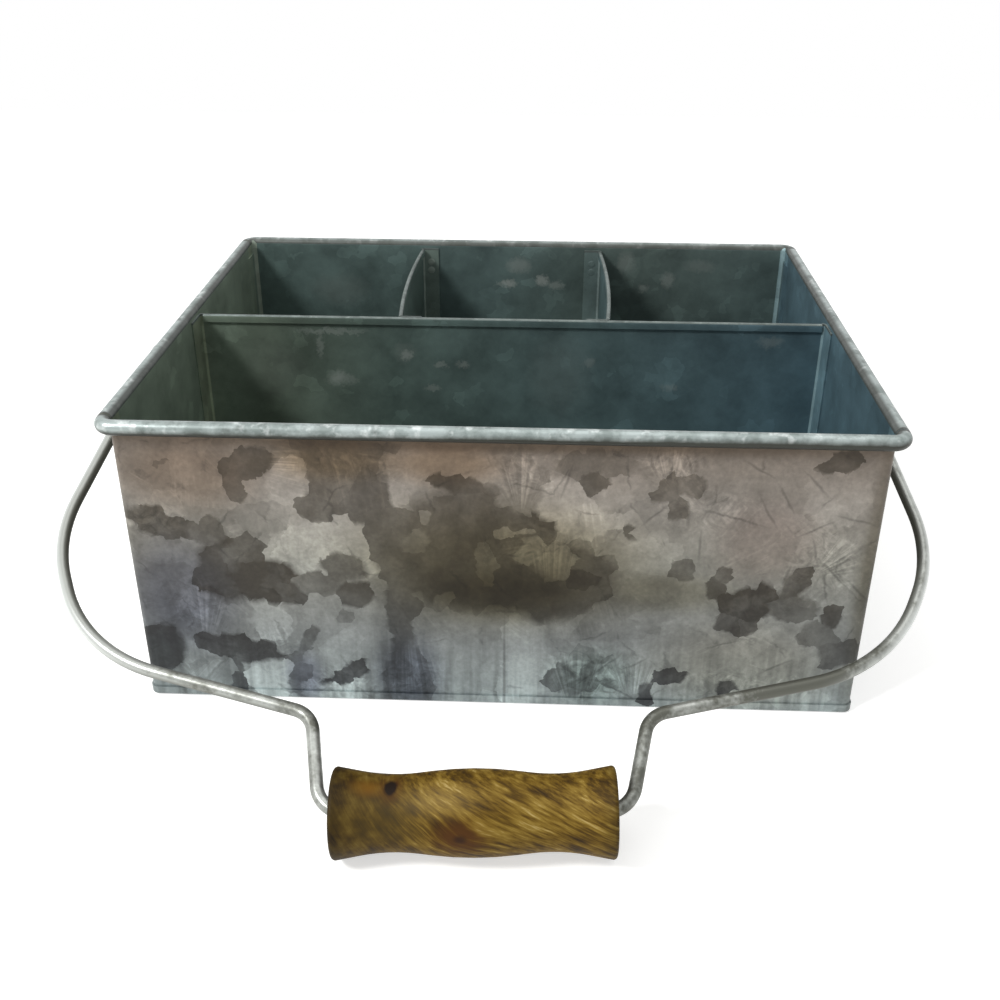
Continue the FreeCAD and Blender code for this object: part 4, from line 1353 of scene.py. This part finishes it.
@dataclass
class Ear:
    """A pressed strap on a short wall that carries one end of the bail."""

    side: Side
    box: SheetBox = field(default_factory=SheetBox)
    pivot_drop: float = 17.0
    width: float = 30.0
    tall: float = 18.0
    gauge: float = 1.0
    hump: float = 14.0
    standoff: float = 4.4
    bend: float = 1.0
    hole: float = 4.76
    corner: float = 3.0
    weld_size: float = 4.0
    weld_proud: float = 0.15

    def mesh(self) -> BMesh:
        """Press the ear.

        Returns:
            The finished mesh.
        """
        box, toward = self.box, self.side.value
        wall = box.inner_x + box.gauge
        pivot = Vector((0.0, 0.0, box.height - self.pivot_drop))
        low = pivot.z - self.tall / 2
        plan = ((self.gauge, -self.width / 2), (self.gauge, -self.hump / 2), (self.standoff, -self.hump / 2))
        plan += tuple((x, -y) for x, y in reversed(plan))
        corners = [Vector((toward * (wall + x), y, low)) for x, y in plan]
        outer = self.bend + self.gauge
        bm = bmesh.new()
        rise = Run(bm, [bm.verts.new(corners[0])], corners[0], UP, UP.cross(Vector((toward, 0.0, 0.0))))
        rise.straight(self.tall)
        strap = Run(bm, bm.edges[:], corners[0], corners[1] - corners[0], UP)
        strap.follow(fold_line(corners, (self.bend, outer, outer, self.bend), UP), 40.0, 15.0)
        tips = [v for v in bm.verts if abs(abs(v.co.y) - self.width / 2) < 0.01]
        bmesh.ops.bevel(bm, geom=tips, offset=self.corner, affect="VERTICES", segments=6, profile=0.5, material=-1)
        face_x = toward * (wall + self.standoff)
        front = min(bm.faces, key=lambda f: (f.calc_center_median() - Vector((face_x, 0.0, pivot.z))).length)
        centre = bmesh.ops.poke(bm, faces=[front])["verts"][0]
        centre.co = Vector((face_x, 0.0, pivot.z))
        known = set(bm.verts)
        bmesh.ops.bevel(
            bm, geom=[centre], offset=self.hole / 2, affect="VERTICES", segments=8, profile=0.5, material=-1,
        )
        ring = [v for v in bm.verts if v not in known]
        for vertex in ring:
            away = vertex.co - Vector((face_x, 0.0, pivot.z))
            vertex.co = Vector((face_x, 0.0, pivot.z)) + away.normalized() * (self.hole / 2)
        plugs = [f for f in bm.faces if all(v in ring for v in f.verts)]
        bmesh.ops.delete(bm, geom=plugs, context="FACES")
        thicken(bm, self.gauge, Vector((face_x, 4.0, pivot.z)), Vector((toward, 0.0, 0.0)))
        for y in (-1.0, 1.0):
            spot = Vector((toward * (wall + self.gauge), y * (self.hump / 2 + self.width / 2) / 2, pivot.z))
            weld_mark(bm, spot, Vector((toward, 0.0, 0.0)), self.weld_size, self.weld_proud, OUTSIDE)
        return bm

    def build(self, finishes: Finishes) -> bpy.types.Object:
        """Press and dress the ear."""
        name = self.side.name.lower()
        return set_up(self.mesh(), f"{name}_ear_strap", f"{name}_ear", "box", finishes.sheet())


@dataclass
class Bail:
    """The bail, bent from one wire, with upset heads behind the ears."""

    pivot_z: float = 101.0
    slope: float = BAIL_SLOPE
    wire: float = 4.6
    sway: float = 4.3
    skew: float = 3.6
    pin_tip: float = 136.4
    reach: float = 205.6
    corners: tuple[tuple[float, float], ...] = (
        (147.5, 0.0), (165.2, 0.491), (142.9, 0.727), (57.5, 0.831), (50.5, 1.0),
    )
    radii: tuple[float, ...] = (3.0, 62.5, 60.5, 9.8, 11.0)
    head: float = 7.0
    head_thickness: float = 1.5

    def mesh(self) -> BMesh:
        """Bend the wire flat, then lay it at its slope.

        Returns:
            The finished mesh.
        """
        line = [Vector((self.pin_tip, 0.0, 0.0))]
        for side, corners in ((1.0, self.corners), (-1.0, tuple(reversed(self.corners)))):
            reach = self.reach - side * self.skew / 2
            line += [Vector((side * x - self.sway, -share * reach, 0.0)) for x, share in corners]
        line.append(Vector((-self.pin_tip, 0.0, 0.0)))
        bm = bmesh.new()
        across = Matrix.Translation(line[0]) @ Matrix.Rotation(math.pi / 2, 4, "Y")
        bmesh.ops.create_circle(bm, cap_ends=False, segments=24, radius=self.wire / 2, matrix=across)
        run = Run(bm, bm.edges[:], line[0], line[1] - line[0], UP)
        run.follow(fold_line(line, self.radii + tuple(reversed(self.radii)), UP), 6.0, 3.0)
        ends = [e for e in bm.edges if e.is_boundary]
        bmesh.ops.holes_fill(bm, edges=ends)
        for side in Side:
            middle = Vector((side.value * (self.pin_tip + self.head_thickness / 2), 0.0, 0.0))
            spot = Matrix.Translation(middle) @ Matrix.Rotation(math.pi / 2, 4, "Y")
            known = set(bm.edges)
            bmesh.ops.create_cone(
                bm, cap_ends=True, segments=28, radius1=self.head / 2, radius2=self.head / 2,
                depth=self.head_thickness, matrix=spot,
            )
            rims = [e for e in new_edges(bm, known) if any(len(f.verts) > 4 for f in e.link_faces)]
            bmesh.ops.bevel(bm, geom=rims, offset=0.35, affect="EDGES", segments=3, profile=0.5, material=-1)
        bmesh.ops.recalc_face_normals(bm, faces=bm.faces[:])
        lay = Matrix.Translation((0.0, 0.0, self.pivot_z)) @ Matrix.Rotation(self.slope, 4, "X")
        bmesh.ops.transform(bm, matrix=lay, verts=bm.verts[:])
        return bm

    def build(self, finishes: Finishes) -> bpy.types.Object:
        """Bend and dress the bail."""
        return set_up(self.mesh(), "bail_handle_wire", "bail_wire", "bail", [finishes.wire])


@dataclass
class Grip:
    """The turned grip that spins on the bail."""

    centre: tuple[float, float, float] = (-4.3, -187.059, 15.676)
    tilt: float = math.radians(2.0414)
    slope: float = BAIL_SLOPE
    half: float = 45.7
    end_radius: float = 15.0
    waist: tuple[float, float, float] = (27.5, 11.6, 62.0)
    belly: tuple[float, float] = (14.85, 116.0)
    edge: float = 1.2
    bore: float = 2.38
    mouth: tuple[float, float] = (4.3, 6.0)

    def mesh(self) -> BMesh:
        """Turn the grip.

        Returns:
            The finished mesh.
        """
        wide, deep = self.mouth
        right = [
            (self.waist[0], self.waist[1]), (self.half, self.end_radius),
            (self.half, wide), (self.half - deep, self.bore),
        ]
        outline = [(-x, r) for x, r in reversed(right)] + [(0.0, self.belly[0])] + right
        corners = [Vector((x, r, 0.0)) for x, r in outline]
        half_radii = (0.0, self.edge, self.waist[2])
        bm = bmesh.new()
        profile = Run(bm, [bm.verts.new(corners[0])], corners[0], corners[1] - corners[0], UP)
        radii = half_radii + (self.belly[1],) + tuple(reversed(half_radii))
        profile.follow(fold_line(corners, radii, UP), 3.0, 3.0)
        profile.heading = (corners[0] - corners[-1]).normalized()
        profile.straight((corners[0] - corners[-1]).length, 6)
        bmesh.ops.remove_doubles(bm, verts=bm.verts[:], dist=0.001)
        bmesh.ops.spin(
            bm, geom=bm.edges[:], cent=(0.0, 0.0, 0.0), axis=(1.0, 0.0, 0.0),
            angle=2 * math.pi, steps=112, use_merge=True,
        )
        bmesh.ops.remove_doubles(bm, verts=bm.verts[:], dist=0.001)
        bmesh.ops.recalc_face_normals(bm, faces=bm.faces[:])
        lean = Matrix.Rotation(self.tilt, 4, Vector((0.0, -math.sin(self.slope), math.cos(self.slope))))
        bmesh.ops.transform(bm, matrix=Matrix.Translation(self.centre) @ lean, verts=bm.verts[:])
        return bm

    def build(self, finishes: Finishes) -> bpy.types.Object:
        """Turn and dress the grip."""
        return set_up(self.mesh(), "turned_grip", "wood_grip", "grip", [finishes.wood])


@dataclass
class Studio:
    """The pale floor, the soft lights and the camera."""

    place: tuple[float, float, float] = (14.75, -471.58, 285.14)
    pitch: float = math.radians(28.45)
    yaw: float = math.radians(-2.24)
    roll: float = math.radians(0.19)
    focal_px: float = 1171.7
    picture_px: float = 1000.0
    sensor_mm: float = 36.0
    floor_size: float = 2.2
    floor_tone: str = "#e9e9e7"
    floor_glow: float = 0.57
    floor_z: float = -0.0004
    fill: float = 0.43

    def camera(self) -> None:
        """Set the camera where the photograph was taken from."""
        lens = bpy.data.cameras.new("photo_view")
        lens.sensor_fit = "HORIZONTAL"
        lens.sensor_width = self.sensor_mm
        lens.lens = self.focal_px / self.picture_px * self.sensor_mm
        lens.clip_start = 0.01
        level = math.cos(self.pitch)
        ahead = Vector((math.sin(self.yaw) * level, math.cos(self.yaw) * level, -math.sin(self.pitch)))
        level = Vector((math.cos(self.yaw), -math.sin(self.yaw), 0.0))
        right = Matrix.Rotation(-self.roll, 3, ahead) @ level
        up = right.cross(ahead)
        turn = Matrix((right, up, -ahead)).transposed().to_4x4()
        eye = bpy.data.objects.new("photo_camera", lens)
        eye.matrix_world = Matrix.Translation(Vector(self.place) * MM) @ turn
        bpy.context.scene.collection.objects.link(eye)
        bpy.context.scene.camera = eye

    def floor(self) -> None:
        """Lay a plain pale floor that shows near white and keeps the shadow."""
        bm = bmesh.new()
        bmesh.ops.create_grid(bm, x_segments=1, y_segments=1, size=self.floor_size / 2)
        mesh = bpy.data.meshes.new("studio_floor")
        bm.to_mesh(mesh)
        bm.free()
        material = bpy.data.materials.new("matt_white_floor")
        material.use_nodes = True
        tree = material.node_tree
        node = partial(add_node, tree)
        feed(tree, tree.nodes["Principled BSDF"], {
            "Base Color": linear(self.floor_tone), "Roughness": 1.0, "Specular IOR Level": 0.0, "Emission Color": WHITE,
            "Emission Strength": node("Math", (seen_plainly(node), self.floor_glow), operation="MULTIPLY"),
        })
        mesh.materials.append(material)
        floor = bpy.data.objects.new("studio_floor", mesh)
        floor.location.z = self.floor_z
        bpy.context.scene.collection.objects.link(floor)

    def lights(self) -> None:
        """Hang the soft lamps and set the world's white."""
        for name, place, size, watts in (
            ("overhead_softbox", (0.1, 0.0, 1.5), 1.3, 6.5),
            ("left_key", (-0.95, -0.75, 1.2), 0.3, 17.5),
        ):
            lamp = bpy.data.lights.new(name, "AREA")
            lamp.size = size
            lamp.energy = watts
            hung = bpy.data.objects.new(name, lamp)
            hung.location = place
            hung.rotation_euler = (-Vector(place)).to_track_quat("-Z", "Y").to_euler()
            bpy.context.scene.collection.objects.link(hung)
        world = bpy.data.worlds.new("white_studio")
        world.use_nodes = True
        bpy.context.scene.world = world
        tree = world.node_tree
        node = partial(add_node, tree)
        strength = node("MapRange", (seen_plainly(node), 0.0, 1.0, self.fill, 1.0))
        feed(tree, tree.nodes["Background"], {"Color": WHITE, "Strength": strength})

    def build(self) -> None:
        """Set up the whole studio."""
        self.camera()
        self.floor()
        self.lights()
        bpy.context.scene.view_settings.view_transform = "Standard"


def main() -> None:
    """Build the caddy's pieces, dress them and set up the studio."""
    logging.basicConfig(level=logging.INFO, format="%(name)s: %(message)s")
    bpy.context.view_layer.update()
    Studio().build()
    finishes = Finishes.make()
    makers: list[Any] = [LongWall(end) for end in End] + [ShortWall(side) for side in Side] + [BasePan(), LongDivider()]
    makers += [CrossDivider(side=Side.LEFT), CrossDivider(side=Side.RIGHT, offset=42.8)]
    makers += [Ear(side) for side in Side] + [Bail(), Grip()]
    for maker in makers:
        piece = maker.build(finishes)
        LOG.info("made %s", piece.name)
    hidden_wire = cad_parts["rim_wire"]
    hidden_wire.data.materials.clear()
    hidden_wire.data.materials.append(finishes.wire)
    LOG.info("dressed rim_wire")


if __name__ == "__main__":
    main()
